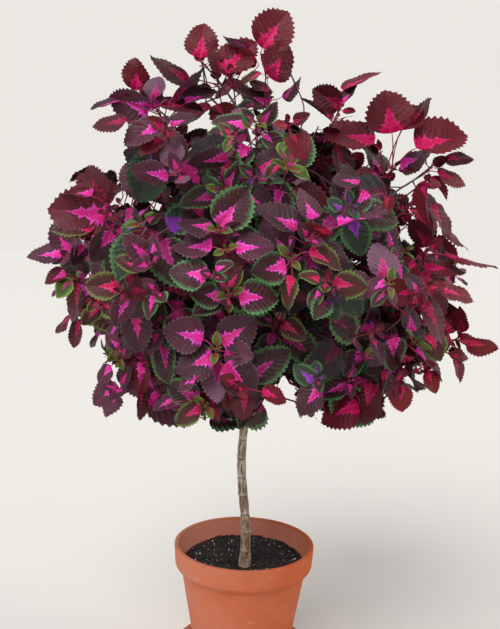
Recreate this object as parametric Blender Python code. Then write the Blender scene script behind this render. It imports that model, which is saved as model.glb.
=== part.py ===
"""A coleus grown as a standard in a clay pot: saucer, pot, potting soil, one woody trunk,
boughs that leave it in opposite pairs, and the masses of foliage that the boughs carry.

Units are metres and +Z is up. The origin is the centre of the saucer's flat underside.
+X is the viewer's right, and the viewer looks along +Y.
"""

import math

import bmesh
import bpy
from mathutils import Matrix, Vector, noise
from mathutils.bvhtree import BVHTree

# Clearance between neighbouring solids
GAP = 0.0003

# Saucer
SAUCER_FOOT_RADIUS = 0.122
SAUCER_RIM_RADIUS = 0.150
SAUCER_HEIGHT = 0.040
SAUCER_FLOOR = 0.010
SAUCER_WALL = 0.008

# Pot
POT_FOOT_RADIUS = 0.1005
POT_NECK_RADIUS = 0.1375
POT_RIM_RADIUS = 0.155
POT_HEIGHT = 0.270
POT_BAND_HEIGHT = 0.057
POT_BAND_TAPER = 0.003
POT_BAND_EDGE = 0.011
POT_LIP = 0.010
POT_WALL = 0.009
POT_FLOOR = 0.014
POT_BASE_Z = SAUCER_FLOOR + GAP
POT_RIM_Z = POT_BASE_Z + POT_HEIGHT
POT_NECK_Z = POT_RIM_Z - POT_BAND_HEIGHT
ROUND_SEGMENTS = 32

# Soil
SOIL_Z = 0.240
SOIL_LUMPS = 0.007
SOIL_LUMP_FREQUENCY = 22.0
SOIL_RING_SHARES = (0.66, 0.36)
SOIL_FLAT_RADIUS = 0.022

# Trunk, which runs up through the crown as its leader
TRUNK_BASE_Z = SOIL_Z + GAP
TRUNK_TOP_Z = 1.020
TRUNK_BASE_RADIUS = 0.0100
TRUNK_TOP_RADIUS = 0.0050
TRUNK_FLARE = 0.0030
TRUNK_FLARE_HEIGHT = 0.020
TRUNK_TAPER_POWER = 1.3
TRUNK_NODE_SPACING = 0.0425
TRUNK_NODE_HALF_LENGTH = 0.010
TRUNK_NODE_SWELLING = 0.0012
TRUNK_SIDES = 10
TRUNK_LINE = (
    (0.0030, 0.000, TRUNK_BASE_Z),
    (0.0020, 0.000, 0.320),
    (-0.0080, 0.001, 0.410),
    (-0.0115, 0.002, 0.470),
    (-0.0090, 0.001, 0.530),
    (-0.0010, -0.001, 0.640),
    (0.0040, -0.001, 0.800),
    (0.0060, 0.000, TRUNK_TOP_Z),
)

# Boughs. Their first ring is the collar where they leave the trunk.
BOUGH_BASE_RADIUS = 0.0068
BOUGH_TIP_RADIUS = 0.0038
BOUGH_COLLAR = 1.25
BOUGH_RISE = 0.75
BOUGH_BEND = 0.4
BOUGH_SIDES = 6
BOUGH_STEPS = 6
SHOOT_STEM_BASE_RADIUS = 0.0032
SHOOT_STEM_TIP_RADIUS = 0.0022
SHOOT_STEM_LEAST_LENGTH = 0.012

# Curves and seats
LINE_STEPS = 12
SEAT_SAMPLES = 24
SEAT_BACK_OFF = 0.030

# Crown. Its outline is wide and low in the middle and narrows to the top.
CROWN_CENTRE_X = 0.012
CROWN_LEAN_RIGHT = 0.016
CROWN_MIDDLE_Z = 0.90
CROWN_RADIUS = 0.472
CROWN_BELOW = 0.345
CROWN_ABOVE = 0.375
CROWN_SQUARENESS = 2.35
CROWN_BUMPS = 0.075
CROWN_BUMP_FREQUENCY = 5.0
CORE_RADIUS = 0.115
LUMPINESS = 0.20
LUMP_FREQUENCY = 1.9
LUMP_FACETS = 3
SHOOT_FACETS = 2

# Tiers of foliage masses: name, masses in it, azimuth of the first, middle height,
# height of its boughs' feet on the trunk, half height, share of the tier's gap that a mass fills
TIERS = (
    ("low", 5, -90.0, 0.685, 0.600, 0.130, 1.16),
    ("middle", 6, -60.0, 0.890, 0.700, 0.150, 1.14),
    ("high", 5, -54.0, 1.085, 0.830, 0.140, 1.12),
)
TIER_RADIAL_SHARE = 0.5
TIER_WAVE = 0.018
FEET_PAIR_SPACING = 0.034

# The two masses that close the crown over the trunk's tip: name, middle, half sizes
CREST = (
    ("crest_left", (-0.105, 0.015, 1.195), (0.150, 0.170, 0.100)),
    ("crest_right", (0.120, -0.015, 1.190), (0.150, 0.170, 0.100)),
)
CREST_FEET_Z = 0.965
CREST_FLOOR_DROP = 0.075

# Shoots that stand clear of the crown: name, mass that carries it, middle, half sizes
SHOOTS = (
    ("top", "crest_right", (0.030, 0.000, 1.374), (0.052, 0.050, 0.058)),
    ("top_middle", "crest_left", (-0.048, -0.025, 1.335), (0.040, 0.046, 0.044)),
    ("top_left", "crest_left", (-0.122, 0.005, 1.354), (0.052, 0.050, 0.048)),
    ("top_back", "crest_left", (0.005, 0.125, 1.325), (0.062, 0.055, 0.048)),
    ("upper_left", "high_4", (-0.264, -0.020, 1.246), (0.084, 0.066, 0.056)),
    ("upper_right", "crest_right", (0.182, -0.060, 1.280), (0.076, 0.062, 0.044)),
    ("right_high", "high_2", (0.372, -0.020, 1.185), (0.085, 0.075, 0.064)),
    ("right_tip", "middle_2", (0.476, 0.020, 0.740), (0.036, 0.050, 0.055)),
)


def clear_scene():
    """Remove whatever the opened file held."""
    for thing in list(bpy.data.objects):
        bpy.data.objects.remove(thing, do_unlink=True)


def material(name, colour, roughness):
    """A plain surface of one colour."""
    made = bpy.data.materials.new(name)
    made.use_nodes = True
    shader = made.node_tree.nodes["Principled BSDF"]
    shader.inputs["Base Color"].default_value = (*colour, 1.0)
    shader.inputs["Roughness"].default_value = roughness
    shader.inputs["Metallic"].default_value = 0.0
    return made


def place(name, mesh, finish, location=(0.0, 0.0, 0.0)):
    """Put a finished bmesh into the scene as one named object, its faces pointing out."""
    bmesh.ops.recalc_face_normals(mesh, faces=mesh.faces)
    data = bpy.data.meshes.new(name)
    mesh.to_mesh(data)
    mesh.free()
    data.materials.append(finish)
    thing = bpy.data.objects.new(name, data)
    thing.location = location
    bpy.context.collection.objects.link(thing)
    return thing


def surface_of(thing):
    """The object's surface in world space, for measuring distances to it."""
    mesh = bmesh.new()
    mesh.from_mesh(thing.data)
    mesh.transform(Matrix.Translation(thing.location))
    tree = BVHTree.FromBMesh(mesh)
    mesh.free()
    return tree


def turned(name, profile, finish, segments=ROUND_SEGMENTS):
    """A solid of revolution about Z. The profile runs from the axis back to the axis."""
    mesh = bmesh.new()
    rings = []
    for radius, height in profile:
        if radius == 0.0:
            rings.append([mesh.verts.new((0.0, 0.0, height))])
            continue
        ring = []
        for step in range(segments):
            angle = math.tau * step / segments
            ring.append(mesh.verts.new((radius * math.cos(angle), radius * math.sin(angle), height)))
        rings.append(ring)
    for lower, upper in zip(rings, rings[1:]):
        for step in range(segments):
            after = (step + 1) % segments
            corners = (lower[step % len(lower)], lower[after % len(lower)],
                       upper[after % len(upper)], upper[step % len(upper)])
            mesh.faces.new(tuple(dict.fromkeys(corners)))
    return place(name, mesh, finish)


def pot_inner_radius(height):
    """Radius of the pot's inside at a height, which flares behind the band."""
    neck = POT_NECK_RADIUS - POT_WALL
    if height > POT_NECK_Z:
        return neck + (height - POT_NECK_Z) / POT_BAND_HEIGHT * (POT_RIM_RADIUS - POT_LIP - neck)
    share = (height - POT_BASE_Z) / (POT_NECK_Z - POT_BASE_Z)
    return POT_FOOT_RADIUS - POT_WALL + share * (POT_NECK_RADIUS - POT_FOOT_RADIUS)


def make_saucer(clay):
    """A shallow clay dish with a flat foot and a flared wall."""
    profile = (
        (0.0, 0.0),
        (SAUCER_FOOT_RADIUS, 0.0),
        (SAUCER_RIM_RADIUS, SAUCER_HEIGHT),
        (SAUCER_RIM_RADIUS - SAUCER_WALL, SAUCER_HEIGHT),
        (SAUCER_FOOT_RADIUS - SAUCER_WALL, SAUCER_FLOOR),
        (0.0, SAUCER_FLOOR),
    )
    turned("saucer", profile, clay)


def make_pot(clay):
    """A tapered clay pot with a tall band round its rim, hollow down to its floor."""
    edge_z = POT_NECK_Z + POT_BAND_EDGE
    floor_z = POT_BASE_Z + POT_FLOOR
    profile = (
        (0.0, POT_BASE_Z),
        (POT_FOOT_RADIUS, POT_BASE_Z),
        (POT_NECK_RADIUS, POT_NECK_Z),
        (POT_RIM_RADIUS - POT_BAND_TAPER, edge_z),
        (POT_RIM_RADIUS, POT_RIM_Z),
        (pot_inner_radius(POT_RIM_Z), POT_RIM_Z),
        (pot_inner_radius(POT_NECK_Z), POT_NECK_Z),
        (pot_inner_radius(floor_z), floor_z),
        (0.0, floor_z),
    )
    turned("pot", profile, clay)


def soil_radius(height):
    """The soil's radius, clear of the flats of the pot's faceted wall."""
    return pot_inner_radius(height) * math.cos(math.pi / ROUND_SEGMENTS) - GAP * 1.4


def make_soil(earth):
    """Potting soil that fills the pot, uneven on top but flat where the trunk leaves it."""
    floor_z = POT_BASE_Z + POT_FLOOR + GAP
    foot = soil_radius(floor_z)
    edge = soil_radius(SOIL_Z)
    profile = [(0.0, floor_z), (foot, floor_z), (soil_radius(POT_NECK_Z), POT_NECK_Z), (edge, SOIL_Z)]
    for share in SOIL_RING_SHARES:
        profile.append((edge * share, SOIL_Z))
    profile += [(SOIL_FLAT_RADIUS, SOIL_Z), (0.0, SOIL_Z)]
    soil = turned("soil", profile, earth)
    for vertex in soil.data.vertices:
        x, y, z = vertex.co
        between = SOIL_FLAT_RADIUS * 1.5 < math.hypot(x, y) < edge * 0.9
        if z > SOIL_Z - GAP and between:
            vertex.co.z += SOIL_LUMPS * (0.6 + noise.noise(Vector((x, y, 0.0)) * SOIL_LUMP_FREQUENCY))


def line_through(points):
    """Points evenly spread along a smooth curve through the given ones."""
    given = [Vector(point) for point in points]
    ends = [2 * given[0] - given[1]] + given + [2 * given[-1] - given[-2]]
    line = []
    for index in range(len(given) - 1):
        before, start, finish, after = ends[index:index + 4]
        for step in range(LINE_STEPS):
            t = step / LINE_STEPS
            line.append(0.5 * (2 * start + (finish - before) * t
                               + (2 * before - 5 * start + 4 * finish - after) * t ** 2
                               + (3 * start - before - 3 * finish + after) * t ** 3))
    line.append(given[-1])
    return line


def limb(name, line, radii, sides, finish, first_normal=None, last_normal=None):
    """A limb swept along a line, with one radius for each point and flat ends."""
    mesh = bmesh.new()
    rings = []
    count = len(line)
    across = None
    for index, point in enumerate(line):
        ahead = line[min(index + 1, count - 1)] - line[max(index - 1, 0)]
        if index == 0 and first_normal:
            ahead = first_normal
        if index == count - 1 and last_normal:
            ahead = last_normal
        ahead = ahead.normalized()
        if across is None:
            across = ahead.orthogonal().normalized()
        across = (across - ahead * across.dot(ahead)).normalized()
        other = ahead.cross(across)
        ring = []
        for side in range(sides):
            angle = math.tau * side / sides
            offset = across * math.cos(angle) + other * math.sin(angle)
            ring.append(mesh.verts.new(point + offset * radii[index]))
        rings.append(ring)
    for lower, upper in zip(rings, rings[1:]):
        for side in range(sides):
            after = (side + 1) % sides
            mesh.faces.new((lower[side], lower[after], upper[after], upper[side]))
    mesh.faces.new(rings[0])
    mesh.faces.new(rings[-1])
    return place(name, mesh, finish)


def trunk_radius(height):
    """The trunk's radius, with its flare at the soil and a swelling at every leaf joint."""
    up = height - TRUNK_BASE_Z
    share = up / (TRUNK_TOP_Z - TRUNK_BASE_Z)
    plain = TRUNK_BASE_RADIUS + (TRUNK_TOP_RADIUS - TRUNK_BASE_RADIUS) * max(share, 0.0) ** TRUNK_TAPER_POWER
    flare = TRUNK_FLARE * math.exp(-up / TRUNK_FLARE_HEIGHT)
    from_node = abs((up / TRUNK_NODE_SPACING + 0.5) % 1.0 - 0.5) * TRUNK_NODE_SPACING
    swelling = TRUNK_NODE_SWELLING * max(0.0, 1.0 - from_node / TRUNK_NODE_HALF_LENGTH)
    return plain + flare + swelling * (1.0 - 0.5 * share)


def make_trunk(bark):
    """The whole trunk from its flat cut at the soil to its tip inside the crown."""
    curve = line_through(TRUNK_LINE)
    line = [curve[0]]
    half_node = TRUNK_NODE_SPACING / 2
    count = int((TRUNK_TOP_Z - TRUNK_BASE_Z) / half_node)
    for index in range(1, count):
        wanted = TRUNK_BASE_Z + index * half_node
        for low, high in zip(curve, curve[1:]):
            if low.z <= wanted < high.z:
                line.append(low.lerp(high, (wanted - low.z) / (high.z - low.z)))
    line.append(curve[-1])
    radii = [trunk_radius(point.z) for point in line]
    up = Vector((0.0, 0.0, 1.0))
    return limb("trunk", line, radii, TRUNK_SIDES, bark, first_normal=up)


def crown_reach(azimuth, height):
    """Horizontal distance from the crown's middle line to its outside."""
    tall = CROWN_ABOVE if height > CROWN_MIDDLE_Z else CROWN_BELOW
    share = min(abs(height - CROWN_MIDDLE_Z) / tall, 1.0)
    plain = CROWN_RADIUS * (1.0 - share ** CROWN_SQUARENESS) ** (1.0 / CROWN_SQUARENESS)
    low_share = max(0.0, CROWN_MIDDLE_Z + 0.25 - height) / 0.5
    return plain + CROWN_LEAN_RIGHT * math.cos(azimuth) * min(low_share, 1.0)


def mass_plan():
    """Every tier and crest mass: name, middle, half sizes, azimuth and where its bough starts."""
    plan = []
    for tier, count, first, height, feet, half_height, fill in TIERS:
        for index in range(count):
            azimuth = math.radians(first + 360.0 * index / count)
            lift = TIER_WAVE * math.sin(3.0 * azimuth + height * 9.0)
            outside = crown_reach(azimuth, height)
            radial = (outside - CORE_RADIUS) * TIER_RADIAL_SHARE
            middle_radius = outside - radial
            across = math.pi * middle_radius / count * fill
            middle = Vector((CROWN_CENTRE_X + middle_radius * math.cos(azimuth),
                             middle_radius * math.sin(azimuth), height + lift))
            foot = feet + FEET_PAIR_SPACING * (index % 3)
            plan.append((f"{tier}_{index + 1}", middle, (radial, across, half_height), azimuth, foot))
    for name, middle, half in CREST:
        azimuth = math.atan2(middle[1], middle[0])
        foot = CREST_FEET_Z if name == "crest_left" else CREST_FEET_Z + FEET_PAIR_SPACING
        plan.append((name, Vector(middle), half, azimuth, foot))
    return plan


def half_size(half, azimuth, direction):
    """Half size of a turned ellipsoid along a direction."""
    cos_a, sin_a = math.cos(azimuth), math.sin(azimuth)
    along = direction.x * cos_a + direction.y * sin_a
    across = direction.y * cos_a - direction.x * sin_a
    return 1.0 / math.sqrt((along / half[0]) ** 2 + (across / half[1]) ** 2
                           + (direction.z / half[2]) ** 2)


def parting_plane(middle, half, azimuth, other_middle, other_half, other_azimuth):
    """The plane between two masses, nearer to the smaller one, and half a gap on this side."""
    between = other_middle - middle
    toward = between.normalized()
    own = half_size(half, azimuth, toward)
    other = half_size(other_half, other_azimuth, toward)
    share = own / (own + other)
    return middle + between * share - toward * GAP * 0.6, toward


def inside_crown(point):
    """Whether a point lies inside the crown's outline, which is uneven all round."""
    x = point.x - CROWN_CENTRE_X
    azimuth = math.atan2(point.y, x)
    bumps = 1.0 + CROWN_BUMPS * noise.noise(point * CROWN_BUMP_FREQUENCY)
    return math.hypot(x, point.y) < crown_reach(azimuth, point.z) * bumps


def reach_inside_crown(middle, direction, reach):
    """The longest reach along a direction that stays inside the crown's outline."""
    if inside_crown(middle + direction * reach):
        return reach
    shortest, longest = 0.0, reach
    for halving in range(18):
        between = (shortest + longest) / 2
        if inside_crown(middle + direction * between):
            shortest = between
        else:
            longest = between
    return shortest


def foliage_mass(name, middle, half, azimuth, planes, facets, finish):
    """One closed, uneven solid that bulges round its middle and is parted from its neighbours."""
    mesh = bmesh.new()
    bmesh.ops.create_icosphere(mesh, subdivisions=facets, radius=1.0)
    for vertex in mesh.verts:
        direction = vertex.co.normalized()
        bumps = noise.noise(direction * LUMP_FREQUENCY + middle * 7.0)
        reach = half_size(half, azimuth, direction) * (1.0 + LUMPINESS * bumps)
        for point, normal in planes:
            facing = direction.dot(normal)
            if facing > 0.001:
                reach = min(reach, (point - middle).dot(normal) / facing)
        if facets == LUMP_FACETS:
            reach = reach_inside_crown(middle, direction, reach)
        vertex.co = direction * reach
    return place(name, mesh, finish, middle)


def inner_plane(middle, azimuth, foot):
    """The face of a mass that looks at the trunk, where its bough enters."""
    trunk_axis = Vector((CROWN_CENTRE_X, 0.0, 0.0))
    outward = Vector((math.cos(azimuth), math.sin(azimuth), 0.0))
    from_axis = (middle - trunk_axis).dot(outward)
    if from_axis < CORE_RADIUS * 2 and middle.z > TRUNK_TOP_Z:
        toward = (Vector((CROWN_CENTRE_X, 0.0, foot)) - middle).normalized()
        return middle + toward * CREST_FLOOR_DROP, toward
    return trunk_axis + outward * CORE_RADIUS + Vector((0.0, 0.0, middle.z)), -outward


def nearest_hit(surface, points, direction):
    """Least distance from the points to a surface, measured along a direction."""
    found = [surface.ray_cast(point, direction)[3] for point in points]
    return min(distance for distance in found if distance is not None)


def seat(surface, centre, radius, direction):
    """Move a flat end along a direction until it is one gap short of a surface."""
    side = direction.orthogonal().normalized()
    other = direction.cross(side)
    points = [centre]
    for step in range(SEAT_SAMPLES):
        angle = math.tau * step / SEAT_SAMPLES
        offset = side * math.cos(angle) + other * math.sin(angle)
        points += [centre + offset * radius, centre + offset * radius * 0.5]
    return centre + direction * (nearest_hit(surface, points, direction) - GAP * 1.1)


def bough_between(name, start_surface, start, outward, end_surface, end, inward, radii, rise, finish):
    """A tapering limb from one surface to another, square to both of them."""
    first_radius = radii[0] * BOUGH_COLLAR
    start = seat(start_surface, start + outward * SEAT_BACK_OFF, first_radius, -outward)
    end = seat(end_surface, end - inward * SEAT_BACK_OFF, radii[1], inward)
    span = (end - start).length
    leave = (outward + Vector((0.0, 0.0, rise))).normalized()
    line = []
    for step in range(BOUGH_STEPS + 1):
        t = step / BOUGH_STEPS
        a, b = (1 - t) ** 3, 3 * t * (1 - t) ** 2
        c, d = 3 * t ** 2 * (1 - t), t ** 3
        handle = span * BOUGH_BEND
        line.append(start * a + (start + leave * handle) * b + (end - inward * handle) * c + end * d)
    taper = [radii[0] + (radii[1] - radii[0]) * step / BOUGH_STEPS for step in range(BOUGH_STEPS + 1)]
    taper[0] = first_radius
    return limb(name, line, taper, BOUGH_SIDES, finish, outward, inward)


def make_crown(trunk, bark, shoot_bark, leaf):
    """All foliage masses and the boughs that carry them."""
    plan = mass_plan()
    shoots = []
    for name, carrier, middle, half in SHOOTS:
        azimuth = math.atan2(middle[1], middle[0])
        shoots.append((name, carrier, Vector(middle), half, azimuth))
    everything = [(name, middle, half, azimuth) for name, middle, half, azimuth, foot in plan]
    everything += [(name, middle, half, azimuth) for name, carrier, middle, half, azimuth in shoots]
    surfaces = {}

    def planes_round(name, middle, half, azimuth):
        return [parting_plane(middle, half, azimuth, other_middle, other_half, other_azimuth)
                for other, other_middle, other_half, other_azimuth in everything if other != name]

    trunk_surface = surface_of(trunk)
    for name, middle, half, azimuth, foot in plan:
        gate, toward_trunk = inner_plane(middle, azimuth, foot)
        planes = planes_round(name, middle, half, azimuth) + [(gate, toward_trunk)]
        mass = foliage_mass(f"foliage_{name}", middle, half, azimuth, planes, LUMP_FACETS, leaf)
        surfaces[name] = surface_of(mass)
        outward = Vector((math.cos(azimuth), math.sin(azimuth), 0.0))
        start = trunk_point(foot)
        end = middle + toward_trunk * (gate - middle).dot(toward_trunk)
        bough_between(f"bough_{name}", trunk_surface, start, outward, surfaces[name], end,
                      -toward_trunk, (BOUGH_BASE_RADIUS, BOUGH_TIP_RADIUS), BOUGH_RISE, bark)
    for name, carrier, middle, half, azimuth in shoots:
        mass = foliage_mass(f"foliage_shoot_{name}", middle, half, azimuth,
                            planes_round(name, middle, half, azimuth), SHOOT_FACETS, leaf)
        own_surface = surface_of(mass)
        carrier_middle = next(item[1] for item in plan if item[0] == carrier)
        way = (middle - carrier_middle).normalized()
        stem_radii = (SHOOT_STEM_BASE_RADIUS, SHOOT_STEM_TIP_RADIUS)
        own_face = own_surface.ray_cast(carrier_middle, way)[0]
        carrier_face = surfaces[carrier].ray_cast(own_face, -way)[0]
        if carrier_face is None or (own_face - carrier_face).length < SHOOT_STEM_LEAST_LENGTH:
            continue
        half_way = (own_face + carrier_face) / 2
        bough_between(f"bough_shoot_{name}", surfaces[carrier], half_way - way * SEAT_BACK_OFF, way,
                      own_surface, half_way + way * SEAT_BACK_OFF, way, stem_radii, 0.0, shoot_bark)


def trunk_point(height):
    """The middle of the trunk at a height."""
    curve = line_through(TRUNK_LINE)
    for low, high in zip(curve, curve[1:]):
        if low.z <= height < high.z:
            return low.lerp(high, (height - low.z) / (high.z - low.z))
    return curve[-1]


def main():
    clear_scene()
    clay = material("terracotta", (0.52, 0.19, 0.10), 0.85)
    earth = material("potting_soil", (0.02, 0.015, 0.013), 0.95)
    bark = material("bark", (0.30, 0.24, 0.19), 0.85)
    shoot_bark = material("young_stem", (0.10, 0.02, 0.04), 0.6)
    leaf = material("foliage", (0.16, 0.02, 0.06), 0.6)
    make_saucer(clay)
    make_pot(clay)
    make_soil(earth)
    trunk = make_trunk(bark)
    make_crown(trunk, bark, shoot_bark, leaf)


main()
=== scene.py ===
"""Looks of the potted coleus: toothed leaves with a bright flame on each, grown as shoots from
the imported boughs, bark with its relief, a clay pot in its saucer, and soil with pale grains.

Units are metres and +Z is up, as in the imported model. The viewer looks along +Y.
"""

import math
import random

import bmesh
import bpy
import numpy as np
from mathutils import Matrix, Vector, noise
from mathutils.bvhtree import BVHTree


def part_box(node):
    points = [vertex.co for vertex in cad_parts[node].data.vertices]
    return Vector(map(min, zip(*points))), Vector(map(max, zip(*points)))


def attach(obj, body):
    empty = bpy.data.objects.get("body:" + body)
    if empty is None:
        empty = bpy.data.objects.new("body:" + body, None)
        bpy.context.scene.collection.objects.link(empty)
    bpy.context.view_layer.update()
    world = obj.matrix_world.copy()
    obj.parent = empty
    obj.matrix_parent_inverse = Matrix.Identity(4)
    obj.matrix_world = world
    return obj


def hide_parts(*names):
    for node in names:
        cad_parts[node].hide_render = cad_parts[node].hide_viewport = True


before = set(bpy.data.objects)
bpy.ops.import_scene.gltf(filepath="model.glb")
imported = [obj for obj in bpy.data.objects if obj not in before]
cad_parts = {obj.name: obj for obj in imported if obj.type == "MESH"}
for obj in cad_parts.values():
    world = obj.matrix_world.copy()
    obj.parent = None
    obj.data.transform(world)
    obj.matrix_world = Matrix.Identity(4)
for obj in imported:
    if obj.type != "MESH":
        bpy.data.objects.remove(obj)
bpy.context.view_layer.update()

UP = Vector((0.0, 0.0, 1.0))
SEED = 2611

# Camera, as the photograph was taken
PHOTO_WIDTH = 500
PHOTO_HEIGHT = 629
FOCAL_PIXELS = 760.0
SENSOR_MM = 36.0
CAMERA_PLACE = Vector((-0.0025, -1.637, 0.953))
CAMERA_PITCH = math.radians(5.7)
CAMERA_ROLL = math.radians(1.75)
CAMERA_TURN = (Matrix.Rotation(math.pi / 2 - CAMERA_PITCH, 3, "X")
               @ Matrix.Rotation(CAMERA_ROLL, 3, "Z"))

# Leaf colours as the eye sees them, 0 to 255: flame, its outer part, blade, margin, stalk. On the kinds with a thin
# margin, the margin is a pale greyish rim along the teeth: painted sheen.
KINDS = {
    "wine": ((202, 20, 92), (224, 34, 118), (102, 20, 32), (110, 34, 40), (168, 34, 68)),
    "claret": ((154, 20, 68), (180, 28, 92), (80, 20, 30), (86, 34, 38), (128, 30, 54)),
    "russet": ((200, 30, 78), (222, 48, 106), (118, 26, 34), (124, 44, 42), (176, 42, 64)),
    "rose": ((222, 40, 140), (236, 78, 190), (94, 24, 36), (104, 40, 44), (176, 44, 84)),
    "plum": ((232, 50, 164), (246, 96, 218), (88, 44, 60), (110, 84, 90), (184, 60, 108)),
    "dusk": ((210, 44, 132), (234, 74, 190), (68, 38, 48), (88, 70, 72), (152, 48, 84)),
    # A paler grey-mauve copy of the plum leaf: painted velvet sheen.
    "painted_sheen_mauve": ((184, 44, 110), (206, 76, 150), (116, 78, 100), (128, 100, 112), (170, 72, 110)),
    "green_rim": ((230, 52, 154), (244, 90, 206), (72, 38, 44), (84, 134, 80), (182, 62, 106)),
    "olive_rim": ((208, 38, 94), (230, 60, 130), (80, 44, 40), (106, 124, 62), (164, 58, 74)),
    "fern_rim": ((172, 42, 112), (200, 66, 156), (60, 42, 40), (74, 112, 66), (138, 62, 80)),
    "violet_green": ((140, 56, 176), (176, 84, 208), (56, 68, 54), (78, 124, 74), (144, 84, 112)),
    "lime": ((222, 74, 140), (240, 120, 184), (92, 120, 56), (138, 172, 80), (160, 140, 86)),
    "shade_green": ((104, 48, 112), (128, 64, 140), (40, 52, 38), (48, 78, 46), (86, 56, 60)),
    # A near-black leaf for the inside of the crown: painted shade.
    "night": ((86, 20, 48), (104, 30, 66), (36, 26, 32), (38, 36, 34), (66, 28, 40)),
    "heart": ((158, 44, 58), (176, 76, 66), (88, 104, 46), (120, 146, 66), (142, 116, 62)),
}
ZONES = ("flame", "glow", "blade", "inner", "margin", "stalk")
KIND_MARGIN = {"green_rim": "wide", "olive_rim": "wide", "fern_rim": "wide", "violet_green": "wide",
               "lime": "wide", "shade_green": "wide", "heart": "wide"}
# Kinds that grow beside each other on one shoot
NEIGHBOURS = {
    "wine": ("wine", "claret", "russet"), "claret": ("claret", "wine", "dusk"),
    "rose": ("rose", "dusk", "rose", "claret"),
    "russet": ("russet", "wine", "claret"), "plum": ("plum", "dusk", "plum", "painted_sheen_mauve"),
    "dusk": ("dusk", "plum", "claret"), "painted_sheen_mauve": ("painted_sheen_mauve", "plum"),
    "green_rim": ("green_rim", "plum", "fern_rim"), "olive_rim": ("olive_rim", "claret", "fern_rim"),
    "fern_rim": ("fern_rim", "dusk", "shade_green"), "violet_green": ("violet_green", "fern_rim", "dusk"),
    "lime": ("lime", "green_rim", "olive_rim"), "shade_green": ("shade_green", "night", "fern_rim"),
    "night": ("night", "claret", "shade_green"),
}

# Leaf outline, in shares of the leaf's length
LEAF_HALF_WIDTH = 0.43
LEAF_BASE_POWER = 0.44
LEAF_TIP_POWER = 0.84
LEAF_POINT = 0.10
TOOTH_DEPTH = 0.026
TOOTH_LEAN = 0.016
VEIN_SLANT = 0.62
QUILT = 0.014
FLAME_THREAD = 0.004
FLAME_LIMIT = 0.92
FLAME_SPIKES = (1.42, 0.78, 1.06, 0.70)

# One shoot, from its tip down: distance below the tip, leaf length, rise of the leaf from the
# plane across the shoot in degrees, and how finely the leaf is cut
PAIRS = (
    (0.001, 0.014, 62.0, "bud"),
    (0.005, 0.025, 42.0, "small"),
    (0.014, 0.046, 28.0, "small"),
    (0.030, 0.068, 14.0, "fine"),
    (0.052, 0.082, 0.0, "fine"),
    (0.084, 0.086, -12.0, "plain"),
)
INNER_PAIRS = (
    (0.006, 0.036, 40.0, "bud"),
    (0.026, 0.066, 12.0, "rough"),
    (0.056, 0.084, -4.0, "rough"),
)
STALK_SHARE = 0.27
GRAVITY = 0.26

# Spacing of the shoots over the crown, and how far inside the crown's surface their tips are
SHOOT_SPACING = 0.082
SHOOT_INSET = 0.042
INNER_SPACING = 0.105
INNER_INSET = 0.135
BARE_STEM = 0.085
LOWEST_SHOOT = 0.615
LOWEST_LEAF = 0.544
FEWEST_LEAVES = 4
HEART_WIDTH = 0.74
# Above this height the youngest leaves are wine like the rest
SUNNY_TOP = 1.10

# Stems
TIP_RADIUS = 0.0014
STEM_POWER = 0.38
STEM_LARGEST = 0.0036
STEM_STEP = 0.018
STEM_FROM_INSIDE = 0.06
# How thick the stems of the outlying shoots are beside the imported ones
CLEAR_STEM_SHARE = 0.6


def linear(colour):
    """A colour given as the eye sees it, 0 to 255, in the renderer's linear units."""
    made = []
    for part in colour:
        share = part / 255.0
        made.append(share / 12.92 if share <= 0.04045 else ((share + 0.055) / 1.055) ** 2.4)
    return tuple(made)


def sight_line(pixel):
    """The direction in which the camera sees a pixel, one metre deep."""
    across = (pixel[0] - PHOTO_WIDTH / 2) / FOCAL_PIXELS
    upward = (PHOTO_HEIGHT / 2 - pixel[1]) / FOCAL_PIXELS
    return CAMERA_TURN @ Vector((across, upward, -1.0))


def seen_at(points):
    """Pixels and depths at which the camera sees an array of points."""
    seen = (np.asarray(points) - np.array(CAMERA_PLACE)) @ np.array(CAMERA_TURN)
    depth = -seen[:, 2]
    return np.stack((PHOTO_WIDTH / 2 + FOCAL_PIXELS * seen[:, 0] / depth,
                     PHOTO_HEIGHT / 2 - FOCAL_PIXELS * seen[:, 1] / depth), axis=1), depth


# Materials

def shader_of(name, colour, roughness):
    """A new material with its shader, plain colour and roughness set."""
    made = bpy.data.materials.new(name)
    made.use_nodes = True
    shader = made.node_tree.nodes["Principled BSDF"]
    shader.inputs["Base Color"].default_value = (*linear(colour), 1.0)
    shader.inputs["Roughness"].default_value = roughness
    return made, made.node_tree.nodes, made.node_tree.links, shader


def noise_node(nodes, links, scale, detail, stretch=(1.0, 1.0, 1.0)):
    """Noise in the object's own space, stretched along the axes where asked."""
    place = nodes.new("ShaderNodeTexCoord")
    mapping = nodes.new("ShaderNodeMapping")
    mapping.inputs["Scale"].default_value = stretch
    texture = nodes.new("ShaderNodeTexNoise")
    texture.inputs["Scale"].default_value = scale
    texture.inputs["Detail"].default_value = detail
    links.new(place.outputs["Object"], mapping.inputs["Vector"])
    links.new(mapping.outputs["Vector"], texture.inputs["Vector"])
    return texture


def ranged(nodes, links, source, low, high, start=0.25, stop=0.75):
    """A source's start to stop stretched between two values."""
    reach = nodes.new("ShaderNodeMapRange")
    reach.inputs["From Min"].default_value = start
    reach.inputs["From Max"].default_value = stop
    reach.inputs["To Min"].default_value = low
    reach.inputs["To Max"].default_value = high
    links.new(source, reach.inputs["Value"])
    return reach.outputs["Result"]


def bumped(nodes, links, shader, height, strength, distance):
    """Relief from a height, added to the shader's normal."""
    bump = nodes.new("ShaderNodeBump")
    bump.inputs["Strength"].default_value = strength
    bump.inputs["Distance"].default_value = distance
    links.new(height, bump.inputs["Height"])
    links.new(bump.outputs["Normal"], shader.inputs["Normal"])


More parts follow.
